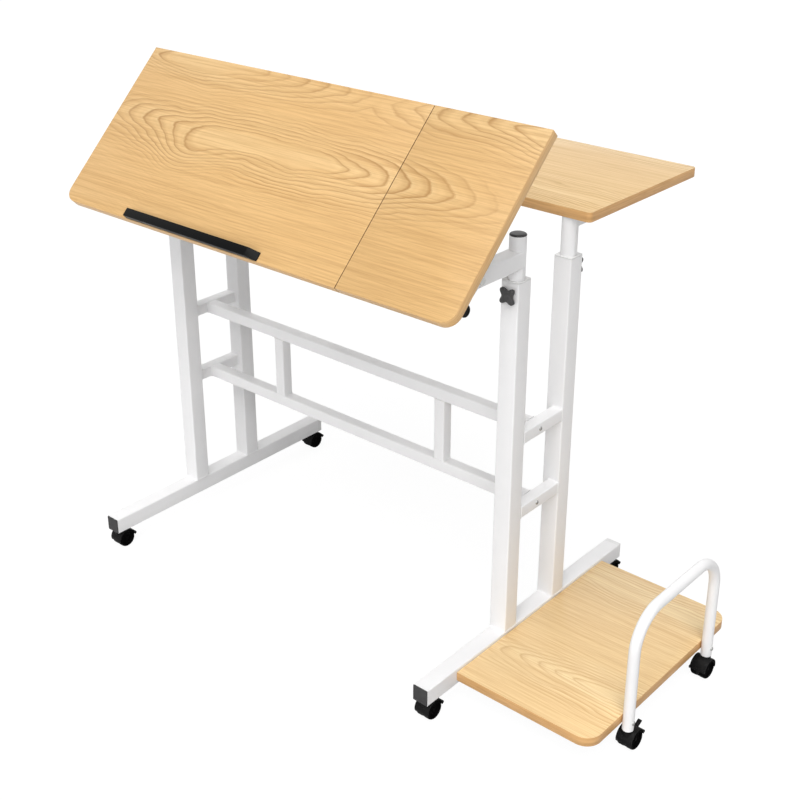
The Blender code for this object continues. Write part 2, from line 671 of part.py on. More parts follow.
def build_pivot_pin(side, sign, tilt):
    """A headed pin through the bracket's ears and the arm."""
    name = side + "_pivot_pin"
    reach = BRACKET_WIDTH / 2 + FIT
    head = PIN_HEAD_DIAMETER / 2
    shank = PIN_DIAMETER / 2
    profile = (
        (0.0, reach + PIN_HEAD),
        (head - PIN_HEAD / 2, reach + PIN_HEAD),
        (head, reach),
        (shank, reach),
        (shank, -reach),
        (head, -reach),
        (head - PIN_HEAD / 2, -reach - PIN_HEAD),
        (0.0, -reach - PIN_HEAD),
    )
    mesh = profile_mesh(name, profile)
    turn(place(name, mesh, BRIGHT_STEEL, tilt, (sign * FRAME_X, 0.0, 0.0), ALONG_X), SMALL_ROUND)


def build_leg_knob(name, axis, stud):
    """A four-lobed clamp knob on its neck and threaded stud; Z points away from the clamped wall."""
    outline = []
    for lobe in range(4):
        aim = 45 + 90 * lobe
        middle = math.radians(aim)
        centre = (KNOB_LOBE_CENTRE * math.cos(middle), KNOB_LOBE_CENTRE * math.sin(middle))
        outline += arc(KNOB_LOBE_RADIUS, aim - 100, aim + 100, 7, centre)
        outline += arc(KNOB_WAIST, aim + 45, aim + 46, 2)[:1]
    mesh = outline_mesh(name, (outline,), KNOB_HEAD)
    base = FIT + LEG_KNOB_NECK
    head = place(name, mesh, BLACK_PLASTIC, axis, (0.0, 0.0, base + KNOB_HEAD / 2))
    round_edges(head, KNOB_EDGE)
    profile = (
        (0.0, base + KNOB_HEAD / 2),
        (KNOB_NECK_DIAMETER / 2, base + KNOB_HEAD / 2),
        (KNOB_NECK_DIAMETER / 2, FIT),
        (KNOB_STUD_DIAMETER / 2, FIT),
        (KNOB_STUD_DIAMETER / 2, -stud),
        (0.0, -stud),
    )
    shank = place_tool(name + "_shank", profile_mesh(name + "_shank", profile), axis)
    turn(shank, SMALL_ROUND)
    combine(head, shank, "UNION")


def build_leg_knobs(root):
    """Clamp knobs whose studs press on the posts through the uprights' walls."""
    height = COLLAR_TOP - LEG_KNOB_BELOW_TOP
    stud = LEG_TUBE / 2 - POST_DIAMETER / 2 - FIT
    for side, sign in SIDES.items():
        for end, y, facing in (("front", 0.0, -1), ("rear", LEG_PITCH, 1)):
            name = side + "_" + end + "_leg_knob"
            spot = (sign * FRAME_X, y + facing * LEG_TUBE / 2, height)
            turned = ALONG_Y if facing > 0 else ALONG_MINUS_Y
            axis = make_empty(name + "_axis", spot, root, turned)
            build_leg_knob(name, axis, stud)


def build_tilt_knob(name, axis, stud):
    """A round clamp knob, turned with its neck and threaded stud."""
    base = FIT + TILT_KNOB_NECK
    face = base + TILT_KNOB_HEAD
    rim = TILT_KNOB_DIAMETER / 2
    profile = (
        (0.0, face),
        (rim - 2 * KNOB_EDGE, face),
        (rim - KNOB_EDGE / 2, face - KNOB_EDGE / 2),
        (rim, face - 2 * KNOB_EDGE),
        (rim, base + KNOB_EDGE),
        (rim - KNOB_EDGE, base),
        (KNOB_NECK_DIAMETER / 2, base),
        (KNOB_NECK_DIAMETER / 2, FIT),
        (KNOB_STUD_DIAMETER / 2, FIT),
        (KNOB_STUD_DIAMETER / 2, -stud),
        (0.0, -stud),
    )
    turn(place(name, profile_mesh(name, profile), BLACK_PLASTIC, axis), LARGE_ROUND)


def build_tilt_knobs(tilt):
    """Clamp knobs that draw each bracket's ears together on its arm."""
    stud = BRACKET_WIDTH + TILT_STUD_TAIL
    for side, sign in SIDES.items():
        name = side + "_tilt_knob"
        spot = (sign * (FRAME_X + BRACKET_WIDTH / 2), -CLAMP_AHEAD, CLAMP_ABOVE)
        turned = ALONG_X if sign > 0 else ALONG_MINUS_X
        axis = make_empty(name + "_axis", spot, tilt, turned)
        build_tilt_knob(name, axis, stud)


def hood_outline():
    """Side view of a caster hood and web about the wheel centre, with the trailing lip towards +Y."""
    lip = HOOD_RADIUS + HOOD_LIP
    web = WHEEL_RADIUS - WEB_FLOOR_GAP
    outline = arc(lip, 9, 19, 3)
    outline += arc(HOOD_RADIUS, 23, 192, 13)
    outline += arc(web, 192, 365, 10)
    outline += arc(HOOD_RADIUS, 5, 7, 2)
    return outline


def build_caster(name, root, x, y, heading, braked):
    """A hooded twin-wheel caster: hood and stem, wheels on one axle, and a brake pedal on some."""
    swivel = make_empty(name + "_swivel", (x, y, 0.0), root, (0.0, 0.0, math.radians(heading)))
    axle = make_empty(name + "_axle", (0.0, CASTER_TRAIL, WHEEL_RADIUS), swivel)
    half = WHEEL_OUTER_WIDTH / 2
    swapped = [(-z, y) for y, z in hood_outline()]
    hood_name = name + "_hood"
    mesh = outline_mesh(hood_name, (swapped,), WHEEL_OUTER_WIDTH)
    hood = place(hood_name, mesh, BLACK_PLASTIC, axle, (0.0, 0.0, 0.0), ALONG_X)
    stem_profile = (
        (0.0, CASTER_HEIGHT + STEM_LENGTH),
        (STEM_DIAMETER / 2, CASTER_HEIGHT + STEM_LENGTH),
        (STEM_DIAMETER / 2, CASTER_HEIGHT),
        (BOSS_DIAMETER / 2, CASTER_HEIGHT),
        (BOSS_DIAMETER / 2, CASTER_HEIGHT - BOSS_HEIGHT),
        (0.0, CASTER_HEIGHT - BOSS_HEIGHT),
    )
    stem = place_tool(name + "_stem", profile_mesh(name + "_stem", stem_profile), swivel)
    turn(stem, SMALL_ROUND)
    combine(hood, stem, "UNION")
    bore = AXLE_DIAMETER / 2 + TURN_CLEARANCE
    web = WEB_WIDTH / 2
    outside = half + HOOD_WALL
    well_profile = (
        (0.0, outside),
        (WELL_RADIUS, outside),
        (WELL_RADIUS, web),
        (bore, web),
        (bore, -web),
        (WELL_RADIUS, -web),
        (WELL_RADIUS, -outside),
        (0.0, -outside),
    )
    wells = place_tool(
        name + "_wells", profile_mesh(name + "_wells", well_profile), axle, (0.0, 0.0, 0.0), ALONG_X
    )
    turn(wells, LARGE_ROUND)
    combine(hood, wells, "DIFFERENCE")
    build_wheels(name + "_wheels", axle)
    if braked:
        build_pedal(name + "_brake_pedal", axle)


def build_wheels(name, axle):
    """Two wheels with rounded treads on one axle."""
    outer = WHEEL_OUTER_WIDTH / 2
    inner = WEB_WIDTH / 2 + TURN_CLEARANCE
    shoulder = TREAD_ROUNDING * (1 - math.sqrt(0.5))
    shaft = AXLE_DIAMETER / 2
    half = [
        (0.0, outer),
        (WHEEL_RADIUS - TREAD_ROUNDING, outer),
        (WHEEL_RADIUS - shoulder, outer - shoulder),
        (WHEEL_RADIUS, outer - TREAD_ROUNDING),
        (WHEEL_RADIUS, inner),
        (shaft, inner),
    ]
    profile = half + [(radius, -height) for radius, height in reversed(half)]
    wheels = place(
        name, profile_mesh(name, profile), WHEEL_PLASTIC, axle, (0.0, 0.0, 0.0), ALONG_X
    )
    turn(wheels, LARGE_ROUND)


def build_pedal(name, axle):
    """A small foot lever above the hood's lip; its origin is its hinge line."""
    lean = math.radians(26.0)
    reach = HOOD_RADIUS + FIT + PEDAL_THICKNESS / 2
    spot = (0.0, reach * math.cos(lean), reach * math.sin(lean))
    axis = make_empty(name + "_axis", spot, axle)
    half = PEDAL_THICKNESS / 2
    outline = arc(half, 120, 300, 7)
    outline += arc(half, -60, 120, 7, (PEDAL_LENGTH * math.cos(lean), PEDAL_LENGTH * math.sin(lean)))
    swapped = [(-z, y) for y, z in outline]
    mesh = outline_mesh(name, (swapped,), PEDAL_WIDTH)
    place(name, mesh, BLACK_PLASTIC, axis, (0.0, 0.0, 0.0), ALONG_X)


def build_casters(root):
    """Four casters under the feet and two under the hoop's legs."""
    braked = {"hoop_front_caster"}
    for side, sign in SIDES.items():
        for end, stem_y in caster_rows().items():
            name = side + "_" + end + "_caster"
            build_caster(name, root, sign * FRAME_X, stem_y, 0, name in braked)
    for end, sign, heading in (("front", -1, 0), ("rear", 1, 180)):
        name = "hoop_" + end + "_caster"
        y = SHELF_MIDDLE + sign * HOOP_SPACING / 2
        build_caster(name, root, HOOP_X, y, heading, name in braked)


def build_table():
    """Everything hangs from one root on the floor under the middle of the table's outline."""
    middle = (-(BOX_LEFT + BOX_RIGHT) / 2, -(BOX_FRONT + BOX_BACK) / 2, 0.0)
    root = make_empty("table_root", middle)
    build_feet(root)
    build_uprights(root)
    build_cross_frame(root)
    build_shelf(root)
    build_hoop(root)
    front_lift = make_empty("front_lift", (0.0, 0.0, 0.0), root)
    build_front_posts(front_lift)
    rear_lift = make_empty("rear_lift", (0.0, 0.0, 0.0), root)
    build_rear_posts(rear_lift)
    build_rear_top(rear_lift)
    tilt = make_empty("tilt_axis", (0.0, PIVOT_Y, ARM_MIDDLE), front_lift, (TILT_ANGLE, 0.0, 0.0))
    build_tilting_top(tilt)
    for side, sign in SIDES.items():
        build_tilt_bracket(side, sign, tilt)
        build_pivot_pin(side, sign, tilt)
    build_leg_knobs(root)
    build_tilt_knobs(tilt)
    build_casters(root)


build_table()
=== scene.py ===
import json
import math

import bmesh
import bpy
from mathutils import Matrix, Vector

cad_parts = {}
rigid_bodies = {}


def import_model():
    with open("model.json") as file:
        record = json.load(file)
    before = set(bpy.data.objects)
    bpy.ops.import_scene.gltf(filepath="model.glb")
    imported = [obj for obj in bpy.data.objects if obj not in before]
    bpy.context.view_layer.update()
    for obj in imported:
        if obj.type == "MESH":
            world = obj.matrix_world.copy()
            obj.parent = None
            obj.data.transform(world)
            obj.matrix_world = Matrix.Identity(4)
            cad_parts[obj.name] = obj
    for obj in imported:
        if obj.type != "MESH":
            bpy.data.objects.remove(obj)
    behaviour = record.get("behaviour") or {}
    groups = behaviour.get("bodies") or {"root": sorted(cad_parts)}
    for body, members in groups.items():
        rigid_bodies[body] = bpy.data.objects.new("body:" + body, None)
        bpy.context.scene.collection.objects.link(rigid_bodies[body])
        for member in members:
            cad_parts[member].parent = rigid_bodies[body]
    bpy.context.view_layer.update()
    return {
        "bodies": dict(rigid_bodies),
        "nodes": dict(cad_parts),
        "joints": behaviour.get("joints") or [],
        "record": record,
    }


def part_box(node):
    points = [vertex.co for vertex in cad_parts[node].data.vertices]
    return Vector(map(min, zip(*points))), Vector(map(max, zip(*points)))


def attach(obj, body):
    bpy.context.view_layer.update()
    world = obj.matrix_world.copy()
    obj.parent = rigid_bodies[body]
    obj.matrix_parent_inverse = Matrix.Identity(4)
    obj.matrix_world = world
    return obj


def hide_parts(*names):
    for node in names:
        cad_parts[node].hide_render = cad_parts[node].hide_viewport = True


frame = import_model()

# Feet, uprights, connectors, crossbars and struts: square steel tube with drawn round corners,
# cut to length, welded up and powder coated white in one pass. The coat is satin, with the
# faint orange peel that baked powder leaves.
TUBE_CORNER = 0.002
# The axis that each tube runs along: 0 is X, 1 is Y and 2 is Z.
TUBES = {
    "left_foot": 1, "right_foot": 1,
    "left_front_upright": 2, "left_rear_upright": 2, "right_front_upright": 2, "right_rear_upright": 2,
    "left_upper_connector": 1, "left_lower_connector": 1,
    "right_upper_connector": 1, "right_lower_connector": 1,
    "upper_crossbar": 0, "lower_crossbar": 0,
    "left_strut": 2, "right_strut": 2,
}


def add_node(tree, kind, inputs=None, **settings):
    """A shader node; its inputs are given as values or as the sockets that feed them."""
    made = tree.nodes.new(kind)
    for name, value in settings.items():
        setattr(made, name, value)
    for name, value in (inputs or {}).items():
        socket = made.inputs[name]
        if isinstance(value, bpy.types.NodeSocket):
            tree.links.new(value, socket)
        else:
            socket.default_value = value
    return made


def new_group(name, inputs, outputs):
    """An empty node group with named sockets; returns it with its two end nodes."""
    tree = bpy.data.node_groups.new(name, "ShaderNodeTree")
    for label, kind, value in inputs:
        socket = tree.interface.new_socket(label, in_out="INPUT", socket_type=kind)
        if value is not None:
            socket.default_value = value
    for label, kind in outputs:
        tree.interface.new_socket(label, in_out="OUTPUT", socket_type=kind)
    return tree, tree.nodes.new("NodeGroupInput"), tree.nodes.new("NodeGroupOutput")


def make_moulded_skin():
    """Soft mottling and a fine skin, as baked powder and moulded plastic have."""
    number, colour = "NodeSocketFloat", "NodeSocketColor"
    tree, given, result = new_group(
        "moulded_skin",
        (("Place", "NodeSocketVector", None), ("Cloud Size", number, 14.0), ("Skin Size", number, 600.0),
         ("Light", colour, None), ("Dark", colour, None)),
        (("Color", colour), ("Mottle", number), ("Skin", number)),
    )
    place = given.outputs["Place"]
    cloud = add_node(tree, "ShaderNodeTexNoise",
                     {"Vector": place, "Scale": given.outputs["Cloud Size"], "Detail": 4.0, "Roughness": 0.6})
    skin = add_node(tree, "ShaderNodeTexNoise",
                    {"Vector": place, "Scale": given.outputs["Skin Size"], "Detail": 2.0, "Roughness": 0.5})
    spread = add_node(tree, "ShaderNodeMapRange",
                      {"Value": cloud.outputs["Fac"], "From Min": 0.3, "From Max": 0.7})
    tint = add_node(tree, "ShaderNodeMix",
                    {"Factor": spread.outputs["Result"], "A": given.outputs["Light"],
                     "B": given.outputs["Dark"]}, data_type="RGBA")
    for label, source in (("Color", tint.outputs["Result"]), ("Mottle", spread.outputs["Result"]),
                          ("Skin", skin.outputs["Fac"])):
        tree.links.new(source, result.inputs[label])
    return tree


moulded_skin = make_moulded_skin()


def new_material(name):
    """A material with its tree, its shader and its Object coordinates."""
    made = bpy.data.materials.new(name)
    made.use_nodes = True
    tree = made.node_tree
    place = add_node(tree, "ShaderNodeTexCoord").outputs["Object"]
    return made, tree, tree.nodes["Principled BSDF"], place


def dress(tree, shader, colour, roughness, height, strength, depth):
    """Feed a shader its colour, its gloss and a fine relief."""
    bump = add_node(tree, "ShaderNodeBump", {"Height": height, "Strength": strength, "Distance": depth})
    for label, source in (("Base Color", colour), ("Roughness", roughness),
                          ("Normal", bump.outputs["Normal"])):
        tree.links.new(source, shader.inputs[label])


def skinned_material(name, light, dark, smooth, rough, skin_size, skin_depth, metallic=0.0,
                     cloud_size=14.0, specular=0.5):
    """A painted or moulded surface: mottled colour and gloss over a fine raised skin."""
    made, tree, shader, place = new_material(name)
    skin = add_node(tree, "ShaderNodeGroup",
                    {"Place": place, "Cloud Size": cloud_size, "Skin Size": skin_size,
                     "Light": (*light, 1.0), "Dark": (*dark, 1.0)}, node_tree=moulded_skin)
    gloss = add_node(tree, "ShaderNodeMapRange",
                     {"Value": skin.outputs["Mottle"], "To Min": smooth, "To Max": rough})
    dress(tree, shader, skin.outputs["Color"], gloss.outputs["Result"], skin.outputs["Skin"], 0.25,
          skin_depth)
    shader.inputs["Metallic"].default_value = metallic
    shader.inputs["Specular IOR Level"].default_value = specular
    return made


white_powder_coat = skinned_material(
    "white_powder_coat", (0.87, 0.865, 0.868), (0.84, 0.836, 0.84), 0.34, 0.46, 620.0, 0.0004, specular=0.4)


def select_parts(kind, wanted):
    """In edit mode, select only the vertices, edges or faces that the test picks."""
    bpy.ops.mesh.select_mode(type=kind)
    bpy.ops.mesh.select_all(action="DESELECT")
    mesh = bmesh.from_edit_mesh(bpy.context.object.data)
    for part in {"VERT": mesh.verts, "EDGE": mesh.edges, "FACE": mesh.faces}[kind]:
        part.select_set(wanted(part))
    mesh.select_flush_mode()
    bmesh.update_edit_mesh(bpy.context.object.data)


def fix_place():
    """Carry the active piece's place, turn and size over to its mesh."""
    bpy.ops.object.transform_apply(location=True, rotation=True, scale=True)


def edit_all():
    """Open the active piece in edit mode with all of it selected."""
    bpy.ops.object.mode_set(mode="EDIT")
    bpy.ops.mesh.select_all(action="SELECT")


def halfway(low, high):
    """The middle of a box."""
    return [(a + b) / 2 for a, b in zip(low, high)]


def new_block(low, high):
    """A cube at its size and place, ready to be shaped."""
    bpy.ops.mesh.primitive_cube_add(size=1.0, location=halfway(low, high))
    bpy.context.object.scale = [b - a for a, b in zip(low, high)]
    fix_place()
    return bpy.context.object


def round_edges(wanted, radius, segments):
    """Round chosen edges of the active piece in edit mode."""
    bpy.ops.object.mode_set(mode="EDIT")
    select_parts("EDGE", wanted)
    bpy.ops.mesh.bevel(offset=radius, segments=segments, affect="EDGES", clamp_overlap=True)
    bpy.ops.object.mode_set(mode="OBJECT")


def along(axis):
    """A test for edges that run along one axis."""
    def wanted(edge):
        step = edge.verts[1].co - edge.verts[0].co
        return abs(step[axis]) > 0.99 * step.length
    return wanted


def make_active(piece):
    """Select one piece alone."""
    bpy.ops.object.select_all(action="DESELECT")
    piece.select_set(True)
    bpy.context.view_layer.objects.active = piece


def soften(piece, width, segments=2, angle=40.0):
    """Take the knife edge off every corner."""
    make_active(piece)
    bevel = piece.modifiers.new("soft_edges", "BEVEL")
    bevel.width = width
    bevel.segments = segments
    bevel.limit_method = "ANGLE"
    bevel.angle_limit = math.radians(angle)
    bpy.ops.object.modifier_apply(modifier=bevel.name)


def combine(piece, tool, operation):
    """Weld a tool to a piece or cut it out, and remove the tool."""
    make_active(piece)
    step = piece.modifiers.new("combine", "BOOLEAN")
    step.object = tool
    step.operation = operation
    step.solver = "EXACT"
    bpy.ops.object.modifier_apply(modifier=step.name)
    bpy.data.objects.remove(tool, do_unlink=True)


def settle(piece, name, body, slot, material, *nodes, angle=35.0):
    """Name a finished piece, shade it, and hang it on the body that it moves with."""
    make_active(piece)
    bpy.ops.object.shade_smooth_by_angle(angle=math.radians(angle))
    piece.name = name
    piece.data.name = name
    if material:
        piece.data.materials.clear()
        piece.data.materials.append(material)
    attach(piece, body)
    if nodes:
        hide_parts(*nodes)
    return piece


for node_name, axis in TUBES.items():
    tube = new_block(*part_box(node_name))
    round_edges(along(axis), TUBE_CORNER, 5)
    settle(tube, node_name + "_tube", "frame", "white_painted_steel", white_powder_coat, node_name)

# Weld beads where the tubes meet: a thin fillet of weld right round each joint, under the
# same white coat.
BEAD = 0.0009


def joined(pieces):
    """Several pieces as one, in the first one's place."""
    bpy.ops.object.select_all(action="DESELECT")
    for piece in pieces:
        piece.select_set(True)
    bpy.context.view_layer.objects.active = pieces[0]
    bpy.ops.object.join()
    return pieces[0]


def weld_bead(middle, half, normal_axis):
    """One bead: a plane's rim with rounded corners, given a round section."""
    bpy.ops.mesh.primitive_plane_add(size=2.0)
    loop = bpy.context.object
    loop.scale = (half[0], half[1], 1.0)
    bpy.ops.object.transform_apply(location=False, rotation=False, scale=True)
    edit_all()
    bpy.ops.mesh.bevel(offset=TUBE_CORNER, segments=4, affect="VERTICES")
    bpy.ops.mesh.select_all(action="SELECT")
    bpy.ops.mesh.delete(type="ONLY_FACE")
    bpy.ops.object.mode_set(mode="OBJECT")
    turn = {0: (0.0, math.radians(90.0), 0.0), 1: (math.radians(90.0), 0.0, 0.0), 2: (0.0, 0.0, 0.0)}
    loop.rotation_euler = turn[normal_axis]
    loop.location = middle
    fix_place()
    bpy.ops.object.convert(target="CURVE")
    loop.data.bevel_depth = BEAD
    loop.data.bevel_resolution = 2
    bpy.ops.object.convert(target="MESH")
    return bpy.context.object


beads = []
for node_name, axis in TUBES.items():
    if node_name.endswith("_foot"):
        continue
    low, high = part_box(node_name)
    half_size = [(b - a) / 2 for a, b in zip(low, high)]
    across = [a for a in (0, 1, 2) if a != axis]
    size = (half_size[across[-1]], half_size[across[0]]) if axis == 0 else [half_size[a] for a in across]
    ends = (low[axis],) if node_name.endswith("_upright") else (low[axis], high[axis])
    for end in ends:
        spot = halfway(low, high)
        spot[axis] = end
        beads.append(weld_bead(spot, size, axis))
settle(joined(beads), "frame_weld_beads", "frame", "white_painted_steel", white_powder_coat, angle=60.0)

# Foot end caps: moulded plugs pressed into the tube ends. The front ones are thin and dark grey
# inside the tube's white rim, the rear ones pale and more rounded, each with a shallow panel.
CAP_RIM = 0.0022
CAP_RECESS = 0.0004
FRONT_CAP_CORNER = TUBE_CORNER - 0.0008
FRONT_CAP_EDGE = 0.0002
REAR_CAP_EDGE = 0.0012
dark_cap_plastic = skinned_material(
    "dark_cap_plastic", (0.042, 0.041, 0.042), (0.033, 0.032, 0.033), 0.42, 0.55, 900.0, 0.0003,
    cloud_size=40.0, specular=0.3)
pale_cap_plastic = skinned_material(
    "pale_cap_plastic", (0.83, 0.83, 0.825), (0.78, 0.78, 0.775), 0.40, 0.52, 900.0, 0.0003, cloud_size=40.0)


def foot_cap(side, end, material, slot, corner, roundness):
    """The cap's head stands at the foot's end; its tongue is inside the tube and isn't drawn."""
    node_name = side + "_foot_" + end + "_cap"
    low, high = map(list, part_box(node_name))
    foot_low, foot_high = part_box(side + "_foot")
    if end == "front":
        outer_y = low[1]
        high[1] = foot_low[1]
    else:
        outer_y = high[1]
        low[1] = foot_high[1]
    cap = new_block(low, high)
    bpy.ops.object.mode_set(mode="EDIT")
    select_parts("FACE", lambda face: abs(face.calc_center_median().y - outer_y) < 1e-5)
    bpy.ops.mesh.inset(thickness=CAP_RIM)
    bpy.ops.mesh.inset(thickness=CAP_RECESS, depth=-CAP_RECESS)
    bpy.ops.object.mode_set(mode="OBJECT")
    along_y = along(1)
    round_edges(lambda edge: along_y(edge) and edge.calc_length() > 2 * CAP_RECESS, corner, 5)
    soften(cap, roundness, 3, 60.0)
    settle(cap, node_name + "_plug", "frame", slot, material, node_name)


for side in ("left", "right"):
    foot_cap(side, "front", dark_cap_plastic, "dark_grey_plastic", FRONT_CAP_CORNER, FRONT_CAP_EDGE)
    foot_cap(side, "rear", pale_cap_plastic, "white_plastic", TUBE_CORNER, REAR_CAP_EDGE)

# Guide bushes: white plastic collars in the tops of the uprights, bored for the posts.
# Only the thin flange shows.
guide_plastic = skinned_material(
    "guide_plastic", (0.78, 0.78, 0.775), (0.72, 0.72, 0.715), 0.42, 0.55, 900.0, 0.0003, cloud_size=40.0)


def coat_node(node_name, material):
    """Give a CAD piece that stays as it is its own finish."""
    piece = frame["nodes"][node_name]
    piece.data.materials.clear()
    piece.data.materials.append(material)


for side in ("left", "right"):
    for end in ("front", "rear"):
        coat_node(side + "_" + end + "_guide_bush", guide_plastic)

# Side shelf: a chipboard panel with a printed oak laminate on top, a plain backing sheet below and
# a glued edge band. It butts against the right foot, and its outer corners are rounded.
SHELF_RADIUS = 0.026
BAND_EDGE = 0.0006
RINGS_PER_METRE = 165.0


def make_oak_print():
    """A printed oak figure: long nested ovals round three hearts, straight grain further out."""
    number, vector, colour = "NodeSocketFloat", "NodeSocketVector", "NodeSocketColor"
    tree, given, result = new_group(
        "oak_print",
        (("Board", vector, None), ("Heart", vector, None), ("Half Length", number, 0.05),
         ("Stretch", number, 0.13), ("Heart Size", number, 0.02), ("Knot", number, -0.16),
         ("Sag", number, 0.0), ("Second Heart", vector, None), ("Third Heart", vector, None),
         ("Second Stretch", number, 0.1), ("Lean", number, 0.0), ("Figure", number, 1.0),
         ("Pale", colour, None), ("Base", colour, None), ("Late", colour, None)),
        (("Color", colour), ("Relief", number), ("Gloss", number)),
    )
    board = given.outputs["Board"]

    def calc(operation, first, second=0.0):
        return add_node(tree, "ShaderNodeMath", {0: first, 1: second}, operation=operation).outputs["Value"]

    def vector_calc(operation, first, second):
        return add_node(tree, "ShaderNodeVectorMath", {0: first, 1: second}, operation=operation).outputs[0]

    def between(value, low, high, at_low=0.0, at_high=1.0):
        """A value carried from one range to another and held at its ends."""
        return add_node(tree, "ShaderNodeMapRange",
                        {"Value": value, "From Min": low, "From Max": high, "To Min": at_low,
                         "To Max": at_high}).outputs["Result"]

    def mixed(share, first, second):
        return add_node(tree, "ShaderNodeMix", {"Factor": share, "A": first, "B": second},
                        data_type="RGBA").outputs["Result"]

    def noise(along_grain, across_grain, detail, seed):
        """Noise with so many cells to the metre; the seed moves it to another place."""
        scaled = vector_calc("MULTIPLY", board, (along_grain, across_grain, 0.0))
        place = vector_calc("ADD", scaled, (seed, seed * 1.7, seed * 0.6))
        return add_node(tree, "ShaderNodeTexNoise",
                        {"Vector": place, "Scale": 1.0, "Detail": detail, "Roughness": 0.55}).outputs["Fac"]

    drift = calc("MULTIPLY", calc("SUBTRACT", noise(4.5, 12.0, 2.0, 3.1), 0.5), 0.040)
    waver = calc("MULTIPLY", calc("SUBTRACT", noise(16.0, 46.0, 2.0, 7.7), 0.5), 0.0065)
    wander = calc("ADD", drift, waver)

    def oval(heart, stretch, straight, sag):
        """How far a point is from a heart, in ovals drawn out along the grain, and on which side."""
        offset = vector_calc("SUBTRACT", board, given.outputs[heart])
        parts = add_node(tree, "ShaderNodeSeparateXYZ", {0: offset})
        lengthwise = parts.outputs["X"]
        leaned = calc("ADD", calc("MULTIPLY", lengthwise, given.outputs["Lean"]), parts.outputs["Y"])
        across = calc("ADD", leaned, wander)
        if sag:
            knot_run = calc("DIVIDE", calc("SUBTRACT", lengthwise, given.outputs["Knot"]), 0.06)
            swell = calc("EXPONENT", calc("MULTIPLY", calc("POWER", calc("ABSOLUTE", knot_run), 2.0), -1.0))
            dip = calc("MULTIPLY", calc("MULTIPLY", swell, between(across, 0.004, -0.028)),
                       given.outputs["Sag"])
            across = calc("ADD", across, dip)
        ends = calc("MAXIMUM", calc("SUBTRACT", calc("ABSOLUTE", lengthwise), straight), 0.0)
        run = calc("MULTIPLY", ends, given.outputs[stretch])
        width = calc("POWER", calc("ABSOLUTE", across), 2.0)
        reach = calc("SQRT", calc("ADD", width, calc("POWER", run, 2.0)))
        return calc("ADD", reach, calc("MULTIPLY", run, 0.2)), across

    distance, across = oval("Heart", "Stretch", given.outputs["Half Length"], True)
    for other in ("Second Heart", "Third Heart"):
        distance = calc("MINIMUM", distance, oval(other, "Second Stretch", 0.0, False)[0])
    beyond = calc("SUBTRACT", distance, given.outputs["Heart Size"])
    unrest = calc("MULTIPLY", noise(26.0, 95.0, 2.0, 1.3), 0.42)
    rings = calc("ADD", calc("ADD", calc("MULTIPLY", beyond, RINGS_PER_METRE), 0.62), unrest)
    ring = calc("FRACT", calc("MAXIMUM", rings, 0.05))
    # Late wood darkens slowly towards the outside of each ring and ends there sharply.
    late_wood = add_node(tree, "ShaderNodeValToRGB", {"Fac": ring})
    ramp = late_wood.color_ramp
    ramp.interpolation = "EASE"
    ramp.elements[0].position = 0.0
    ramp.elements[0].color = (0.14, 0.14, 0.14, 1.0)
    ramp.elements[1].position = 0.38
    ramp.elements[1].color = (0.0, 0.0, 0.0, 1.0)
    for position, value in ((0.72, 0.38), (0.90, 1.0), (0.965, 0.42)):
        ramp.elements.new(position).color = (value, value, value, 1.0)
    # The figure fades away from the hearts, sooner behind them, and comes and goes in patches.
    one_sided = calc("ADD", distance, calc("MULTIPLY", calc("MINIMUM", across, 0.04), 0.15))
    near_heart = between(one_sided, 0.040, 0.068, 1.0, 0.20)
    patches = between(noise(4.0, 16.0, 3.0, 9.4), 0.35, 0.60, 0.5, 1.0)
    figure = calc("MULTIPLY", calc("MULTIPLY", near_heart, patches), given.outputs["Figure"])
    late = calc("MULTIPLY", late_wood.outputs["Color"], figure)
    # Pale wood lies in the hearts, in broken bands and just outside each ring.
    heart_light = between(distance, 0.01, 0.060, 1.0, 0.25)
    bands = between(noise(2.6, 34.0, 3.0, 5.2), 0.36, 0.68)
    broken = calc("ADD", calc("MULTIPLY", bands, 0.65), 0.35)
    flank = calc("MULTIPLY", between(ring, 0.02, 0.45, 1.0, 0.0), figure)
    pale_share = calc("MAXIMUM", calc("MULTIPLY", broken, heart_light), flank)
    streaks = between(noise(7.0, 430.0, 3.0, 2.4), 0.38, 0.66)
    pores = between(noise(46.0, 1500.0, 2.0, 8.8), 0.60, 0.74)
    tint = mixed(pale_share, given.outputs["Base"], given.outputs["Pale"])
    for share in (calc("MULTIPLY", streaks, 0.40), late, calc("MULTIPLY", pores, 0.36)):
        tint = mixed(share, tint, given.outputs["Late"])
    pits = calc("ADD", calc("MULTIPLY", pores, 0.7), calc("MULTIPLY", late, 0.3))
    for label, source in (("Color", tint), ("Relief", calc("SUBTRACT", 1.0, pits)),
                          ("Gloss", between(streaks, 0.0, 1.0, 0.40, 0.50))):
        tree.links.new(source, result.inputs[label])
    return tree


oak_print = make_oak_print()


def oak_tints(pale, base, late):
    """The print's three inks, from light to dark."""
    return {"Pale": (*pale, 1.0), "Base": (*base, 1.0), "Late": (*late, 1.0)}


def oak_laminate(name, tints, turn=(0.0, 0.0, 0.0), shift=(0.0, 0.0, 0.0), **figure):
    """Printed oak on one board; turn and shift carry world metres to metres along and across it."""
    made, tree, shader, place = new_material(name)
    board = add_node(tree, "ShaderNodeMapping", {"Vector": place, "Rotation": turn, "Location": shift})
    named = {key.replace("_", " ").title(): value for key, value in figure.items()}
    oak = add_node(tree, "ShaderNodeGroup", {"Board": board.outputs["Vector"], **tints, **named},
                   node_tree=oak_print)
    dress(tree, shader, oak.outputs["Color"], oak.outputs["Gloss"], oak.outputs["Relief"], 0.18, 0.0003)
    shader.inputs["Specular IOR Level"].default_value = 0.3
    return made


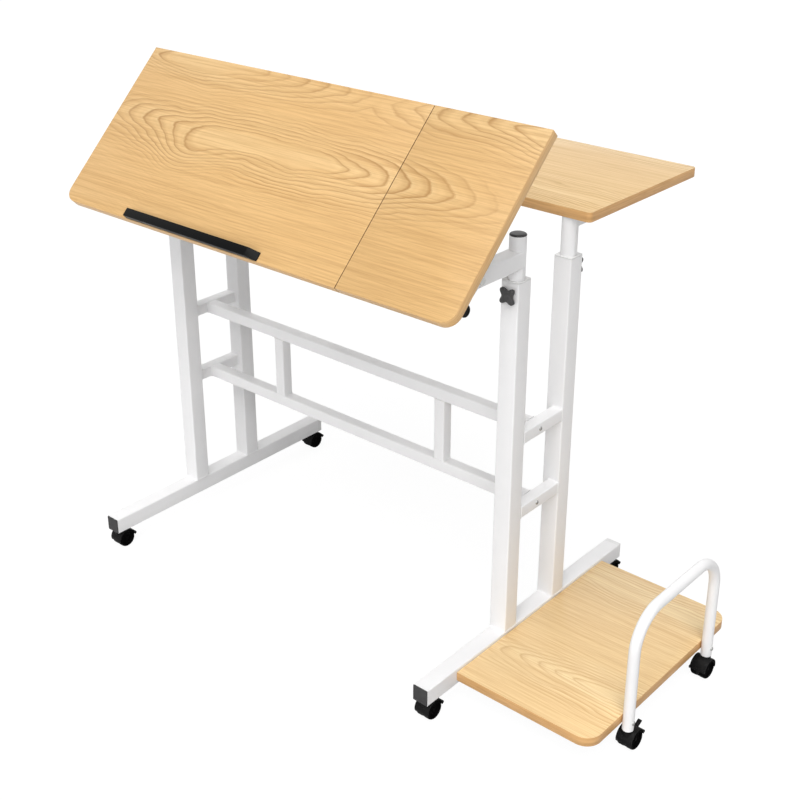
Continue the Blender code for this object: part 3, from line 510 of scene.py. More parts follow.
def oak_edge_band(name, turn, pale, dark, smooth):
    """A thin glued strip with fine lines along its length."""
    made, tree, shader, place = new_material(name)
    level = add_node(tree, "ShaderNodeMapping", {"Vector": place, "Rotation": turn})
    strip = add_node(tree, "ShaderNodeVectorMath", {0: level.outputs["Vector"], 1: (20.0, 20.0, 420.0)},
                     operation="MULTIPLY")
    lines = add_node(tree, "ShaderNodeTexNoise",
                     {"Vector": strip.outputs[0], "Scale": 1.0, "Detail": 3.0,
                      "Roughness": 0.6}).outputs["Fac"]
    share = add_node(tree, "ShaderNodeMapRange", {"Value": lines, "From Min": 0.32, "From Max": 0.70})
    tint = add_node(tree, "ShaderNodeMix",
                    {"Factor": share.outputs["Result"], "A": (*pale, 1.0), "B": (*dark, 1.0)},
                    data_type="RGBA")
    gloss = add_node(tree, "ShaderNodeMapRange", {"Value": lines, "To Min": smooth, "To Max": smooth + 0.14})
    dress(tree, shader, tint.outputs["Result"], gloss.outputs["Result"], lines, 0.12, 0.0002)
    return made


def board_blank(low, high, corners):
    """A flat panel; corners maps (+1 or -1 in X, +1 or -1 in Y) to a corner radius."""
    panel = new_block(low, high)
    middle = halfway(low, high)
    upright_edge = along(2)
    for (side_x, side_y), radius in corners.items():
        def at_corner(edge):
            spot = (edge.verts[0].co + edge.verts[1].co) / 2
            in_x = abs(spot.x - middle[0] - side_x * (high[0] - low[0]) / 2) < 1e-5
            in_y = abs(spot.y - middle[1] - side_y * (high[1] - low[1]) / 2) < 1e-5
            return upright_edge(edge) and in_x and in_y
        round_edges(at_corner, radius, 24)
    soften(panel, BAND_EDGE, 2, 60.0)
    return panel


backing_sheet = skinned_material(
    "backing_sheet", (0.78, 0.775, 0.765), (0.73, 0.725, 0.715), 0.46, 0.58, 700.0, 0.0002, cloud_size=9.0,
    specular=0.3)


def face_board(panel, laminate, band):
    """Laminate on the upper face, backing sheet on the lower one, edge band round the rim."""
    panel.data.materials.clear()
    for sheet in (laminate, backing_sheet, band):
        panel.data.materials.append(sheet)
    for face in panel.data.polygons:
        face.material_index = 0 if face.normal.z > 0.9 else 1 if face.normal.z < -0.9 else 2


shelf_low, shelf_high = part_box("side_shelf")
# The shelf's inks are paler than the tilting top's: partly a paler print, partly painted light on the level
# face.
SHELF_OAK_PALE_AND_LIT = oak_tints((0.95, 0.775, 0.46), (0.83, 0.59, 0.302), (0.56, 0.31, 0.122))
shelf_oak = oak_laminate(
    "shelf_oak", SHELF_OAK_PALE_AND_LIT, stretch=0.16, heart_size=0.016, lean=-0.06, figure=0.68,
    heart=(shelf_high[0] + 0.01, shelf_low[1] + 0.107, 0.0), half_length=0.02, second_stretch=0.06,
    second_heart=(shelf_high[0] - 0.04, shelf_high[1] - 0.045, 0.0),
    third_heart=(shelf_low[0] - 0.90, shelf_low[1] + 0.215, 0.0))
level_band = oak_edge_band(
    "level_edge_band", (0.0, 0.0, 0.0), (0.71, 0.41, 0.165), (0.53, 0.285, 0.102), 0.34)
shelf = board_blank(shelf_low, shelf_high, {(1, -1): SHELF_RADIUS, (1, 1): SHELF_RADIUS})
face_board(shelf, shelf_oak, level_band)
settle(shelf, "side_shelf_board", "frame", "wood_grain_laminate", None, "side_shelf")

# Guard hoop: one length of round steel tube bent to a hoop, white coated, standing at the
# shelf's outer edge and screwed to it through each leg.
HOOP_BEND = 0.055
hoop_low, hoop_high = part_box("guard_hoop")
hoop_radius = (hoop_high[0] - hoop_low[0]) / 2
hoop_x = (hoop_low[0] + hoop_high[0]) / 2
hoop_half = (hoop_high[1] - hoop_low[1]) / 2 - hoop_radius
hoop_middle = (hoop_low[1] + hoop_high[1]) / 2
hoop_top = hoop_high[2] - hoop_radius
bpy.ops.mesh.primitive_plane_add(size=1.0, rotation=(math.radians(90.0), 0.0, math.radians(90.0)),
                                 location=(hoop_x, hoop_middle, (hoop_low[2] + hoop_top) / 2))
hoop = bpy.context.object
hoop.scale = (2 * hoop_half, hoop_top - hoop_low[2], 1.0)
fix_place()
bpy.ops.object.mode_set(mode="EDIT")
select_parts("VERT", lambda vertex: vertex.co.z > hoop_top - 1e-4)
bpy.ops.mesh.bevel(offset=HOOP_BEND, segments=20, affect="VERTICES")
bpy.ops.mesh.select_all(action="SELECT")
bpy.ops.mesh.delete(type="ONLY_FACE")
select_parts("EDGE", lambda edge: all(v.co.z < hoop_low[2] + 1e-4 for v in edge.verts))
bpy.ops.mesh.delete(type="EDGE")
bpy.ops.object.mode_set(mode="OBJECT")
bpy.ops.object.convert(target="CURVE")
hoop.data.bevel_depth = hoop_radius
hoop.data.bevel_resolution = 10
hoop.data.use_fill_caps = True
bpy.ops.object.convert(target="MESH")
hoop = bpy.context.object
settle(hoop, "guard_hoop_tube", "frame", "white_painted_steel", white_powder_coat, "guard_hoop", angle=50.0)

# Cross-head screws: zinc-plated pan heads that fix the crossbars, the hoop, the shelf, the
# brackets, the joining plate and the rear top. One head is modelled and copied to every place.
HEAD_RADIUS = 0.0034
HEAD_HEIGHT = 0.0019
HEAD_SEAT = 0.0004
SLOT_LENGTH = 0.0038
SLOT_WIDTH = 0.0009
SLOT_DEPTH = 0.0011
HOOP_SCREW_RISE = 0.006
# This zinc is a darker grey than bright plate: painted shade, as the screw heads sit in shadow; the studs and
# the joining plate share it.
zinc_with_painted_shade = skinned_material(
    "zinc_with_painted_shade", (0.46, 0.46, 0.45), (0.36, 0.36, 0.35), 0.28, 0.42, 1500.0, 0.0002, metallic=1.0,
    cloud_size=120.0)


def new_outline(points, fill):
    """A ring of vertices put at given points, ready to be spun or drawn out."""
    bpy.ops.mesh.primitive_circle_add(vertices=len(points), radius=1.0, fill_type=fill)
    piece = bpy.context.object
    for vertex, point in zip(piece.data.vertices, points):
        vertex.co = point
    return piece


def turned_piece(profile, steps):
    """A ring shaped to a profile of (radius, height) points, axis to axis, and spun about Z."""
    piece = new_outline([(radius, 0.0, height) for radius, height in profile], "NOTHING")
    edit_all()
    bpy.ops.mesh.spin(steps=steps, angle=2 * math.pi, center=(0.0, 0.0, 0.0), axis=(0.0, 0.0, 1.0))
    bpy.ops.mesh.select_all(action="SELECT")
    bpy.ops.mesh.remove_doubles(threshold=1e-6)
    bpy.ops.mesh.delete_loose(use_verts=True, use_edges=True, use_faces=False)
    bpy.ops.mesh.select_all(action="SELECT")
    bpy.ops.mesh.normals_make_consistent(inside=False)
    bpy.ops.object.mode_set(mode="OBJECT")
    return piece


head_arc = [(HEAD_RADIUS * math.sin(math.radians(a)), HEAD_HEIGHT * math.cos(math.radians(a)))
            for a in (0, 18, 36, 52, 66, 78, 86)]
screw_head = turned_piece(
    head_arc + [(HEAD_RADIUS, 0.0), (HEAD_RADIUS, -HEAD_SEAT), (0.0, -HEAD_SEAT)], 32)
for quarter in (0.0, 90.0):
    slot_cut = new_block((-SLOT_LENGTH / 2, -SLOT_WIDTH / 2, HEAD_HEIGHT - SLOT_DEPTH),
                         (SLOT_LENGTH / 2, SLOT_WIDTH / 2, HEAD_HEIGHT + SLOT_DEPTH))
    slot_cut.rotation_euler = (0.0, 0.0, math.radians(quarter))
    fix_place()
    combine(screw_head, slot_cut, "DIFFERENCE")


def facing(direction, spot, roll=0.0):
    """The place of a part whose Z axis points in a direction."""
    turn = Vector(direction).to_track_quat("Z", "Y").to_matrix().to_4x4()
    return Matrix.Translation(spot) @ turn @ Matrix.Rotation(math.radians(roll), 4, "Z")


def copy_of(pattern, place):
    """A copy with its own mesh, put in its place."""
    made = bpy.data.objects.new(pattern.name, pattern.data.copy())
    bpy.context.scene.collection.objects.link(made)
    made.data.transform(place)
    return made


def screws(name, body, places):
    """Screw heads on one body, as one piece."""
    heads = joined([copy_of(screw_head, place) for place in places])
    settle(heads, name, body, "zinc_plated_steel", zinc_with_painted_shade, angle=40.0)


frame_screws = []
crossbar_y = sum(corner[1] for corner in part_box("upper_crossbar")) / 2
for side, sign in (("left", -1), ("right", 1)):
    for level in ("upper", "lower"):
        low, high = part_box(side + "_" + level + "_connector")
        outer = high[0] if sign > 0 else low[0]
        frame_screws.append(facing((sign, 0, 0), (outer, crossbar_y, (low[2] + high[2]) / 2), 20.0 * sign))
for sign in (-1, 1):
    spot = (hoop_x + hoop_radius, hoop_middle + sign * hoop_half, shelf_low[2] + HOOP_SCREW_RISE)
    frame_screws.append(facing((1, 0, 0), spot, 35.0))
for share in (0.2, 0.8):
    spot_y = shelf_low[1] + share * (shelf_high[1] - shelf_low[1])
    spot = (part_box("right_foot")[0][0], spot_y, (shelf_low[2] + shelf_high[2]) / 2)
    frame_screws.append(facing((-1, 0, 0), spot, 50.0))
screws("frame_screws", "frame", frame_screws)

# Front posts: round steel tube that slides in the front uprights. A square arm is coped and
# welded to each and runs forward to the tilt pivot; dark plugs close the post and the arm.
ARM_PLUG = 0.006
ARM_CORNER = 0.0025
PLUG_EDGE = 0.0008
tilt_joint = next(joint for joint in frame["joints"] if joint["name"] == "tilt")
pivot = Vector(tilt_joint["pos_m"])
cap_low, cap_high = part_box("left_post_cap")
post_radius = (cap_high[1] - cap_low[1]) / 2


def post_tube(node_name, upright, arm_low, arm_high):
    """The tube and its arm, welded into one."""
    low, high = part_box(node_name)
    place = halfway(*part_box(upright))
    place[2] = (low[2] + high[2]) / 2
    bpy.ops.mesh.primitive_cylinder_add(vertices=72, radius=post_radius, depth=high[2] - low[2],
                                        location=place)
    fix_place()
    post = bpy.context.object
    arm = new_block(arm_low, arm_high)
    round_edges(along(1), ARM_CORNER, 5)
    combine(post, arm, "UNION")
    return post


for side in ("left", "right"):
    node_name = side + "_front_post"
    low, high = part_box(node_name)
    half = (high[0] - low[0]) / 2
    post_y = high[1] - post_radius
    arm_low = (low[0], low[1] + ARM_PLUG, pivot.z - half)
    arm_high = (high[0], post_y + half / 4, pivot.z + half)
    post = post_tube(node_name, side + "_front_upright", arm_low, arm_high)
    settle(post, node_name + "_tube", "front_lift", "white_painted_steel", white_powder_coat, node_name)
    plug = new_block((low[0], low[1], pivot.z - half), (high[0], low[1] + ARM_PLUG, pivot.z + half))
    round_edges(along(1), ARM_CORNER, 5)
    soften(plug, PLUG_EDGE, 3)
    settle(plug, side + "_arm_plug", "front_lift", "dark_grey_plastic", dark_cap_plastic)
    cap_low, cap_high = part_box(side + "_post_cap")
    rim = cap_high[2] - high[2]
    cap = turned_piece(((0.0, 0.0), (post_radius - 0.0034, -0.0001), (post_radius - 0.0018, -0.0004),
                        (post_radius - 0.0006, -0.0011), (post_radius, -0.0021), (post_radius, -rim),
                        (0.0, -rim)), 64)
    cap.location = ((cap_low[0] + cap_high[0]) / 2, post_y, cap_high[2])
    fix_place()
    settle(cap, side + "_post_cap_plug", "front_lift", "dark_grey_plastic", dark_cap_plastic,
           side + "_post_cap")

# Rear posts: the same round tube in the rear uprights, with a flat rail welded on that runs
# back under the rear top and is screwed to it from below.
RAIL_HEIGHT = 0.0155
rail_screws = []
board_low, board_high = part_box("rear_top")
for side in ("left", "right"):
    node_name = side + "_rear_post"
    low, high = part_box(node_name)
    half = (high[0] - low[0]) / 2
    post_y = low[1] + post_radius
    rail_low = (low[0], post_y - half / 4, high[2] - RAIL_HEIGHT)
    rail_high = (high[0], high[1], high[2])
    post = post_tube(node_name, side + "_rear_upright", rail_low, rail_high)
    settle(post, node_name + "_tube", "rear_lift", "white_painted_steel", white_powder_coat, node_name)
    for share in (0.35, 0.85):
        spot = ((low[0] + high[0]) / 2, low[1] + share * (high[1] - low[1]), rail_low[2])
        rail_screws.append(facing((0, 0, -1), spot, 30.0 * share))
screws("rear_rail_screws", "rear_lift", rail_screws)

# Rear top: a level panel of the same laminate, with small round corners and an edge band. It
# lies on the rear posts' rails.
REAR_RADIUS = 0.007
# The rear top's inks are paler than the tilting top's: partly a paler print, partly painted light on the
# level face.
REAR_OAK_PALE_AND_LIT = oak_tints((0.85, 0.65, 0.36), (0.725, 0.493, 0.236), (0.47, 0.27, 0.10))
rear_oak = oak_laminate(
    "rear_top_oak", REAR_OAK_PALE_AND_LIT, stretch=0.08, heart_size=0.012, lean=0.05, figure=0.85,
    heart=(board_high[0] + 0.05, board_low[1] + 0.050, 0.0), half_length=0.10, second_stretch=0.04,
    second_heart=(board_low[0] + 0.45, board_high[1] + 0.020, 0.0),
    third_heart=(board_low[0] + 0.20, board_low[1] + 0.10, 0.0))
rear_top = board_blank(board_low, board_high, {(x, y): REAR_RADIUS for x in (-1, 1) for y in (-1, 1)})
face_board(rear_top, rear_oak, level_band)
settle(rear_top, "rear_top_board", "rear_lift", "wood_grain_laminate", None, "rear_top")

# Tilting top: a wide and a narrow panel joined edge to edge, printed with one oak figure that
# runs across the seam, where their edges are left raw and coloured dark brown: painted shade
# for the narrow gap. The two front corners are well rounded.
TILT_RADIUS = 0.022
SEAM_OPENING = 0.0002
SEAM_STEEPNESS = 0.6
TILT_OAK = oak_tints((0.76, 0.535, 0.266), (0.655, 0.408, 0.172), (0.375, 0.20, 0.065))
tilt_normal = next(m for m in frame["record"]["mounts"] if m["name"] == "tilt_top_face")["axis"]
tilt_angle = math.atan2(-tilt_normal[1], tilt_normal[2])
tilt_place = Matrix.Translation(pivot) @ Matrix.Rotation(tilt_angle, 4, "X")


def level_box(node_name):
    """A tilted node's corners, measured level about the tilt pivot."""
    back = tilt_place.inverted()
    spots = [back @ vertex.co for vertex in frame["nodes"][node_name].data.vertices]
    return [[pick(spot[axis] for spot in spots) for axis in range(3)] for pick in (min, max)]


main_low, main_high = level_box("main_tilt_board")
side_low, side_high = level_box("side_tilt_board")
level_turn = Matrix.Rotation(-tilt_angle, 3, "X")
seam_x = (main_high[0] + side_low[0]) / 2
board_shift = Vector((-seam_x, -main_low[1], 0.0)) - level_turn @ pivot
tilt_oak = oak_laminate(
    "tilt_top_oak", TILT_OAK, (-tilt_angle, 0.0, 0.0), board_shift, stretch=0.135, heart_size=0.018,
    lean=0.0, figure=0.92, heart=(-0.252, 0.172, 0.0), half_length=0.055, knot=-0.158, sag=0.018,
    second_stretch=0.12, second_heart=(-0.455, 0.293, 0.0), third_heart=(0.27, 0.284, 0.0))
# This band is paler than the level boards' band: painted light on the front edge, which faces down towards
# the floor.
tilt_band_painted_light = oak_edge_band(
    "tilt_edge_band_painted_light", (-tilt_angle, 0.0, 0.0), (0.82, 0.515, 0.222), (0.66, 0.386, 0.154), 0.26)
# Dark brown on the seam faces, darker than raw chipboard: painted shade in the gap between the panels.
seam_painted_shade = skinned_material(
    "seam_painted_shade", (0.26, 0.15, 0.07), (0.18, 0.10, 0.045), 0.60, 0.75, 500.0, 0.0003, cloud_size=60.0,
    specular=0.2)
main_high[0] -= SEAM_OPENING
side_low[0] += SEAM_OPENING
for node_name, low, high, corner in (("main_tilt_board", main_low, main_high, (-1, -1)),
                                     ("side_tilt_board", side_low, side_high, (1, -1))):
    panel = board_blank(low, high, {corner: TILT_RADIUS})
    face_board(panel, tilt_oak, tilt_band_painted_light)
    panel.data.materials.append(seam_painted_shade)
    for face in panel.data.polygons:
        if face.normal.x * corner[0] < -SEAM_STEEPNESS:
            face.material_index = 3
    panel.data.transform(tilt_place)
    settle(panel, node_name + "_panel", "tilt_top", "wood_grain_laminate", None, node_name)

# Book ledge: a black moulded strip stuck along the front edge of the wide panel, square at its
# left end and ramped down at its right end.
LEDGE_RAMP = 0.019
LEDGE_TOE = 0.001
LEDGE_EDGE = 0.0006
ledge_plastic = skinned_material(
    "ledge_plastic", (0.0018, 0.0017, 0.0018), (0.0012, 0.0012, 0.0013), 0.26, 0.36, 1100.0, 0.0003,
    cloud_size=50.0, specular=0.08)
ledge_low, ledge_high = level_box("book_ledge")
ledge = new_block(ledge_low, ledge_high)
edit_all()
bpy.ops.mesh.bisect(plane_co=(ledge_high[0] - LEDGE_RAMP, 0.0, 0.0), plane_no=(1.0, 0.0, 0.0))
select_parts("VERT", lambda v: v.co.x > ledge_high[0] - 1e-5 and v.co.z > ledge_high[2] - 1e-5)
bpy.ops.transform.translate(value=(0.0, 0.0, LEDGE_TOE - (ledge_high[2] - ledge_low[2])))
bpy.ops.object.mode_set(mode="OBJECT")
soften(ledge, LEDGE_EDGE, 3, 20.0)
ledge.data.transform(tilt_place)
settle(ledge, "book_ledge_strip", "tilt_top", "black_plastic", ledge_plastic, "book_ledge")

# Joining plate, tilt brackets and pivot pins: pressed steel under the tilting top. The plate
# spans the seam, the brackets hold the arms between two ears, and a pin goes through each.
PLATE_CORNER = 0.004
EAR_EDGE = 0.0004
PRESSED_EDGE = 0.0003
BRACKET_WALL = 0.003
plate_low, plate_high = level_box("joining_plate")
plate = new_block(plate_low, plate_high)
round_edges(along(2), PLATE_CORNER, 5)
soften(plate, PRESSED_EDGE, 2)
plate.data.transform(tilt_place)
settle(plate, "joining_plate_strip", "tilt_top", "zinc_plated_steel", zinc_with_painted_shade, "joining_plate")
under_screws = []
for share_x in (0.22, 0.78):
    for share_y in (0.1, 0.5, 0.9):
        spot = (plate_low[0] + share_x * (plate_high[0] - plate_low[0]),
                plate_low[1] + share_y * (plate_high[1] - plate_low[1]), plate_low[2])
        under_screws.append(tilt_place @ facing((0, 0, -1), spot, 70.0 * share_y))


def merged_copy(node_name):
    """A CAD piece's shape as one welded mesh, ready for finer edges."""
    made = bpy.data.objects.new(node_name, frame["nodes"][node_name].data.copy())
    bpy.context.scene.collection.objects.link(made)
    make_active(made)
    edit_all()
    bpy.ops.mesh.remove_doubles(threshold=1e-6)
    bpy.ops.mesh.dissolve_limited(angle_limit=math.radians(1.0))
    bpy.ops.object.mode_set(mode="OBJECT")
    return made


bright_zinc = skinned_material(
    "bright_zinc", (0.68, 0.68, 0.66), (0.58, 0.58, 0.56), 0.34, 0.46, 1500.0, 0.0002, metallic=1.0,
    cloud_size=120.0)
for side, sign in (("left", -1), ("right", 1)):
    node_name = side + "_tilt_bracket"
    bracket = merged_copy(node_name)
    soften(bracket, EAR_EDGE, 2, 50.0)
    settle(bracket, node_name + "_channel", "tilt_top", "white_painted_steel", white_powder_coat, node_name)
    low, high = level_box(node_name)
    for share in (0.16, 0.84):
        spot = ((low[0] + high[0]) / 2, low[1] + share * (high[1] - low[1]), high[2] - BRACKET_WALL)
        under_screws.append(tilt_place @ facing((0, 0, -1), spot, 40.0 * share))
    pin = merged_copy(side + "_pivot_pin")
    soften(pin, PRESSED_EDGE, 2, 30.0)
    settle(pin, side + "_pivot_pin_rivet", "tilt_top", "zinc_plated_steel", bright_zinc, side + "_pivot_pin")
screws("tilting_top_screws", "tilt_top", under_screws)

# Clamp knobs: black plastic heads moulded on threaded studs. Four with lobes press on the posts
# through the uprights; two round ones draw the tilt brackets' ears together on the arms.
KNOB_TIP = 0.0151
KNOB_WAIST = 0.0086
KNOB_HEAD = 0.0062
KNOB_EDGE = 0.0016
BUTTON_RISE = 0.0006
BUTTON_ROOT = 0.001
ROUND_RIM = 0.009
ROUND_HEAD = 0.008
ROUND_FLUTES = 20
FLUTE_DEPTH = 0.0005
FLUTED_FROM = 0.0086
NECK_RADIUS = 0.006
NECK_FLARE = 0.0006
NECK_LAP = 0.003
STUD_RADIUS = 0.003
STUD_POINT = 0.0005
KNOB_GAP = 0.0003


def knob_radius(angle):
    """The head's outline: four round lobes with hollows between them."""
    return KNOB_WAIST + (KNOB_TIP - KNOB_WAIST) * (0.5 + 0.5 * math.cos(4 * (angle - math.pi / 4))) ** 1.25


def draw_out(step):
    """Draw the active flat outline out into a solid."""
    edit_all()
    bpy.ops.mesh.extrude_region_move(TRANSFORM_OT_translate={"value": step})
    bpy.ops.mesh.select_all(action="SELECT")
    bpy.ops.mesh.normals_make_consistent(inside=False)
    bpy.ops.object.mode_set(mode="OBJECT")


def knob_head():
    """The head along Z from 0, with rounded edges and a round button in the middle of its top."""
    bpy.ops.mesh.primitive_circle_add(vertices=128, radius=1.0, fill_type="NGON")
    head = bpy.context.object
    for vertex in head.data.vertices:
        radius = knob_radius(math.atan2(vertex.co.y, vertex.co.x))
        vertex.co = vertex.co.normalized() * radius
    draw_out((0.0, 0.0, KNOB_HEAD))
    soften(head, KNOB_EDGE, 4, 60.0)
    top, root = KNOB_HEAD + BUTTON_RISE, KNOB_HEAD - BUTTON_ROOT
    button = turned_piece(((0.0, top), (0.0034, top), (0.0040, top - 0.0002), (0.0042, KNOB_HEAD),
                           (0.0042, root), (0.0, root)), 40)
    combine(head, button, "UNION")
    return head


def round_knob_head():
    """The round head along Z from 0, with a dished face and shallow flutes round its rim."""
    top = ROUND_HEAD
    head = turned_piece(((0.0, top - 0.0008), (0.0042, top - 0.0008), (0.0052, top - 0.0002),
                         (0.0066, top), (0.0076, top - 0.0003), (0.0084, top - 0.0010),
                         (0.0089, top - 0.0022), (ROUND_RIM, top - 0.0034), (ROUND_RIM, 0.0016),
                         (0.0087, 0.0006), (0.0080, 0.0), (0.0, 0.0)), 240)
    for vertex in head.data.vertices:
        radius = math.hypot(vertex.co.x, vertex.co.y)
        if radius > FLUTED_FROM:
            wave = 0.5 - 0.5 * math.cos(ROUND_FLUTES * math.atan2(vertex.co.y, vertex.co.x))
            shrink = 1.0 - FLUTE_DEPTH * wave ** 3 / radius
            vertex.co.x *= shrink
            vertex.co.y *= shrink
    return head


# The lobed knobs are black plastic; their lighter grey is painted sheen for their lit faces.
sheen_grey_knob_plastic = skinned_material(
    "sheen_grey_knob_plastic", (0.074, 0.073, 0.074), (0.062, 0.062, 0.063), 0.42, 0.55, 1100.0, 0.0003,
    cloud_size=50.0, specular=0.16)
black_plastic = skinned_material(
    "black_moulded_plastic", (0.0056, 0.0054, 0.0056), (0.0040, 0.0040, 0.0041), 0.42, 0.55, 1100.0, 0.0003,
    cloud_size=50.0, specular=0.11)
knob_pattern = knob_head()
round_knob_pattern = round_knob_head()
for joint in frame["joints"]:
    if not joint["name"].endswith("_knob_turn"):
        continue
    node_name = joint["child"]
    low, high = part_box(node_name)
    direction = Vector(joint["axis"])
    spot = Vector(joint["pos_m"])
    corners = [Vector(corner) - spot for corner in (low, high)]
    reach = max(corner.dot(direction) for corner in corners)
    depth = min(corner.dot(direction) for corner in corners)
    place = facing(direction, spot)
    if "tilt" in node_name:
        base = reach - ROUND_HEAD
        plastic = black_plastic
        head = copy_of(round_knob_pattern, place @ Matrix.Translation((0.0, 0.0, base)))
    else:
        base = reach - KNOB_HEAD
        plastic = sheen_grey_knob_plastic
        head = copy_of(knob_pattern, place @ Matrix.Translation((0.0, 0.0, base - BUTTON_RISE)))
    foot_radius = NECK_RADIUS + NECK_FLARE
    neck = turned_piece(((0.0, base + NECK_LAP), (NECK_RADIUS, base + NECK_LAP),
                         (NECK_RADIUS, base - 0.0008), (foot_radius, 0.0016),
                         (foot_radius, KNOB_GAP), (0.0, KNOB_GAP)), 40)
    neck.data.transform(place)
    combine(head, neck, "UNION")
    settle(head, node_name + "_head", node_name, "black_plastic", plastic, node_name)
    stud = turned_piece(((0.0, KNOB_GAP), (STUD_RADIUS, KNOB_GAP), (STUD_RADIUS, depth + STUD_POINT),
                         (STUD_RADIUS - STUD_POINT, depth), (0.0, depth)), 24)
    stud.data.transform(place)
    settle(stud, node_name + "_stud", node_name, "zinc_plated_steel", zinc_with_painted_shade)

# Casters: hooded twin wheels of black nylon. The hood carries the stem and the axle web,
# the two wheels turn on one axle, and one of the hoods has a foot brake.
HOOD_WALL = 0.001
HOOD_LIP = 0.0028
HOOD_EDGE = 0.0005
SKIRT_THINNING = 0.0007
SKIRT_START = 172.0
SKIRT_END = 192.0
SKIRT_STEPS = 6
WELL_GAP = 0.0007
WELL_DEPTH = 0.02
WELL_EDGE = 0.0002
WEB = 0.0026
WEB_FLOOR_GAP = 0.0004
WEB_WHEEL_GAP = 0.0004
PEDAL_EDGE = 0.0006
wheel_plastic = skinned_material(
    "wheel_plastic", (0.0022, 0.0021, 0.0022), (0.0015, 0.0015, 0.0016), 0.52, 0.66, 800.0, 0.0004,
    cloud_size=60.0, specular=0.03)


def arc(radius, start, end, count):
    """Points on an arc about the wheel centre, in degrees."""
    angles = [math.radians(start + (end - start) * i / max(count - 1, 1)) for i in range(count)]
    return [(radius * math.cos(a), radius * math.sin(a)) for a in angles]


def plate_from(outline, half_width):
    """An outline in Y and Z, drawn out along X."""
    piece = new_outline([(-half_width, y, z) for y, z in outline], "NGON")
    draw_out((2 * half_width, 0.0, 0.0))
    return piece


def caster_patterns(stem, axle, wheel_radius, half_width):
    """The hood and the wheels about the wheel centre, rolling along Y."""
    well = wheel_radius + WELL_GAP
    outer = well + HOOD_WALL
    outline = arc(outer + HOOD_LIP, 9, 19, 5) + arc(outer, 23, SKIRT_START, 54)
    for step in range(1, SKIRT_STEPS + 1):
        share = step / SKIRT_STEPS
        angle = SKIRT_START + share * (SKIRT_END - SKIRT_START)
        outline += arc(outer - SKIRT_THINNING * share, angle, angle, 1)
    outline += arc(wheel_radius - WEB_FLOOR_GAP, SKIRT_END, 365, 56) + arc(outer, 5, 7, 2)
    hood = plate_from(outline, half_width)
    soften(hood, HOOD_EDGE, 3, 50.0)
    top = stem.z - axle.z
    boss = turned_piece(((0.0, top + 0.010), (0.0035, top + 0.010), (0.004, top + 0.0095), (0.004, top),
                         (0.0074, top), (0.008, top - 0.0006), (0.008, top - 0.009), (0.0, top - 0.009)), 48)
    boss.data.transform(Matrix.Translation((0.0, stem.y - axle.y, 0.0)))
    combine(hood, boss, "UNION")
    for sign in (-1, 1):
        bpy.ops.mesh.primitive_cylinder_add(vertices=72, radius=well, depth=WELL_DEPTH,
                                            location=(sign * (WEB + WELL_DEPTH / 2), 0.0, 0.0),
                                            rotation=(0.0, math.radians(90.0), 0.0))
        fix_place()
        combine(hood, bpy.context.object, "DIFFERENCE")
    soften(hood, WELL_EDGE, 2, 50.0)
    inner = WEB + WEB_WHEEL_GAP
    face = half_width
    groove = (face + inner) / 2
    tread = wheel_radius
    half = [(0.0, face - 0.0026), (0.0026, face - 0.0026), (0.0032, face - 0.0032),
            (0.0042, face - 0.0046), (tread - 0.0042, face - 0.0046), (tread - 0.0036, face - 0.0038),
            (tread - 0.0033, face - 0.0006), (tread - 0.0029, face), (tread - 0.0026, face - 0.0001),
            (tread - 0.0013, face - 0.0008), (tread - 0.0004, face - 0.0019), (tread, face - 0.0032),
            (tread, groove + 0.0007), (tread - 0.0005, groove + 0.0003),
            (tread - 0.0005, groove - 0.0003), (tread, groove - 0.0007), (tread, inner + 0.0004),
            (tread - 0.0004, inner), (0.002, inner)]
    wheels = turned_piece(half + [(radius, -height) for radius, height in reversed(half)], 72)
    wheels.data.transform(Matrix.Rotation(math.radians(90.0), 4, "Y"))
    return hood, wheels


joint_at = {joint["name"]: Vector(joint["pos_m"]) for joint in frame["joints"] if "pos_m" in joint}
casters = [name for name in frame["bodies"] if name.endswith("_caster")]
first = "left_front_caster"
wheel_low, wheel_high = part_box(first + "_wheels")
hood_pattern, wheel_pattern = caster_patterns(
    joint_at[first + "_swivel"], joint_at[first + "_roll"],
    (wheel_high[2] - wheel_low[2]) / 2, (wheel_high[0] - wheel_low[0]) / 2)
for caster in casters:
    stem, axle = joint_at[caster + "_swivel"], joint_at[caster + "_roll"]
    heading = 0.0 if axle.y > stem.y else math.pi
    place = Matrix.Translation(axle) @ Matrix.Rotation(heading, 4, "Z")
    hood = copy_of(hood_pattern, place)
    settle(hood, caster + "_hood_shell", caster, "black_plastic", black_plastic, caster + "_hood")
    wheels = copy_of(wheel_pattern, place)
    settle(wheels, caster + "_twin_wheels", caster + "_wheels", "black_wheel_plastic", wheel_plastic,
           caster + "_wheels", angle=30.0)
    pedal_name = caster + "_brake_pedal"
    if pedal_name in frame["nodes"]:
        pedal = merged_copy(pedal_name)
        soften(pedal, PEDAL_EDGE, 3, 40.0)
        settle(pedal, pedal_name + "_lever", pedal_name, "black_plastic", black_plastic, pedal_name)
for pattern in (hood_pattern, wheel_pattern, knob_pattern, round_knob_pattern, screw_head):
    bpy.data.objects.remove(pattern, do_unlink=True)

# Studio: a wide pale floor that keeps a soft shadow, a dim white surround, broad lights overhead
# and from the right, low ones in front and behind, and the camera where the photograph was taken.
FLOOR_REACH = 30.0
FLOOR_TINT = 0.65
FLOOR_GLOW = 1.1
FLOOR_GLOW_SHARE = 0.85
SURROUND = 0.20
# Each light's strength, its spread in degrees and the direction that it shines in.
LAMPS = {
    "overhead_light": (1.32, 36.0, (0.04, 0.20, -0.98)),
    "right_light": (1.97, 44.0, (-0.44, 0.52, -0.73)),
    "front_light": (0.85, 30.0, (0.0, 0.99, -0.10)),
    "back_light": (0.30, 40.0, (0.60, -0.75, -0.28)),
}
CAMERA_PLACE = (1.23555, -1.50144, 1.3126)
CAMERA_YAW = 0.7126
CAMERA_PITCH = -0.4261
CAMERA_LENS = 59.57
CAMERA_SHIFT = (0.0016, -0.0641)

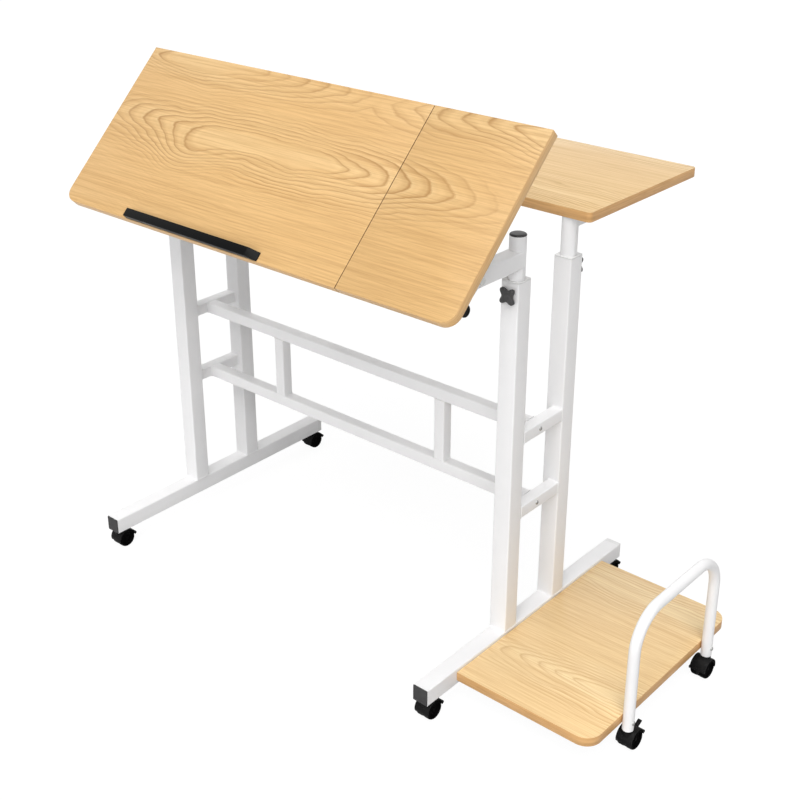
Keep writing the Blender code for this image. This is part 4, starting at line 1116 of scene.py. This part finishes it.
bpy.ops.mesh.primitive_plane_add(size=FLOOR_REACH)
floor = bpy.context.object
floor.name = "studio_floor"
floor_paint = bpy.data.materials.new("pale_floor")
floor_paint.use_nodes = True
tree = floor_paint.node_tree
tree.nodes.remove(tree.nodes["Principled BSDF"])
matte = add_node(tree, "ShaderNodeBsdfDiffuse", {"Color": (FLOOR_TINT, FLOOR_TINT, FLOOR_TINT, 1.0)})
glow = add_node(tree, "ShaderNodeEmission", {"Color": (1.0, 1.0, 1.0, 1.0), "Strength": FLOOR_GLOW})
seen = add_node(tree, "ShaderNodeLightPath")
share = add_node(tree, "ShaderNodeMath", {0: seen.outputs["Is Camera Ray"], 1: FLOOR_GLOW_SHARE},
                 operation="MULTIPLY")
blend = add_node(tree, "ShaderNodeMixShader",
                 {0: share.outputs["Value"], 1: matte.outputs[0], 2: glow.outputs[0]})
tree.links.new(blend.outputs[0], tree.nodes["Material Output"].inputs["Surface"])
floor.data.materials.append(floor_paint)

world = bpy.data.worlds.new("studio_surround")
bpy.context.scene.world = world
world.use_nodes = True
tree = world.node_tree
sky = tree.nodes["Background"]
sky.inputs["Color"].default_value = (1.0, 1.0, 1.0, 1.0)
seen = add_node(tree, "ShaderNodeLightPath")
direct = seen.outputs["Is Camera Ray"]
for kind in ("Is Glossy Ray", "Is Transmission Ray"):
    direct = add_node(tree, "ShaderNodeMath", {0: direct, 1: seen.outputs[kind]},
                      operation="MAXIMUM").outputs["Value"]
strength = add_node(tree, "ShaderNodeMapRange",
                    {"Value": direct, "To Min": SURROUND, "To Max": 1.0})
tree.links.new(strength.outputs["Result"], sky.inputs["Strength"])

for name, (energy, spread, travel) in LAMPS.items():
    lamp = bpy.data.objects.new(name, bpy.data.lights.new(name, "SUN"))
    lamp.data.energy = energy
    lamp.data.angle = math.radians(spread)
    lamp.rotation_euler = Vector(travel).to_track_quat("-Z", "Y").to_euler()
    bpy.context.scene.collection.objects.link(lamp)

camera = bpy.data.objects.new("camera", bpy.data.cameras.new("camera"))
camera.location = CAMERA_PLACE
camera.rotation_euler = (math.pi / 2 + CAMERA_PITCH, 0.0, CAMERA_YAW)
camera.data.lens = CAMERA_LENS
camera.data.shift_x, camera.data.shift_y = CAMERA_SHIFT
camera.data.clip_end = 100.0
bpy.context.scene.collection.objects.link(camera)
bpy.context.scene.camera = camera
bpy.context.scene.view_settings.view_transform = "Standard"
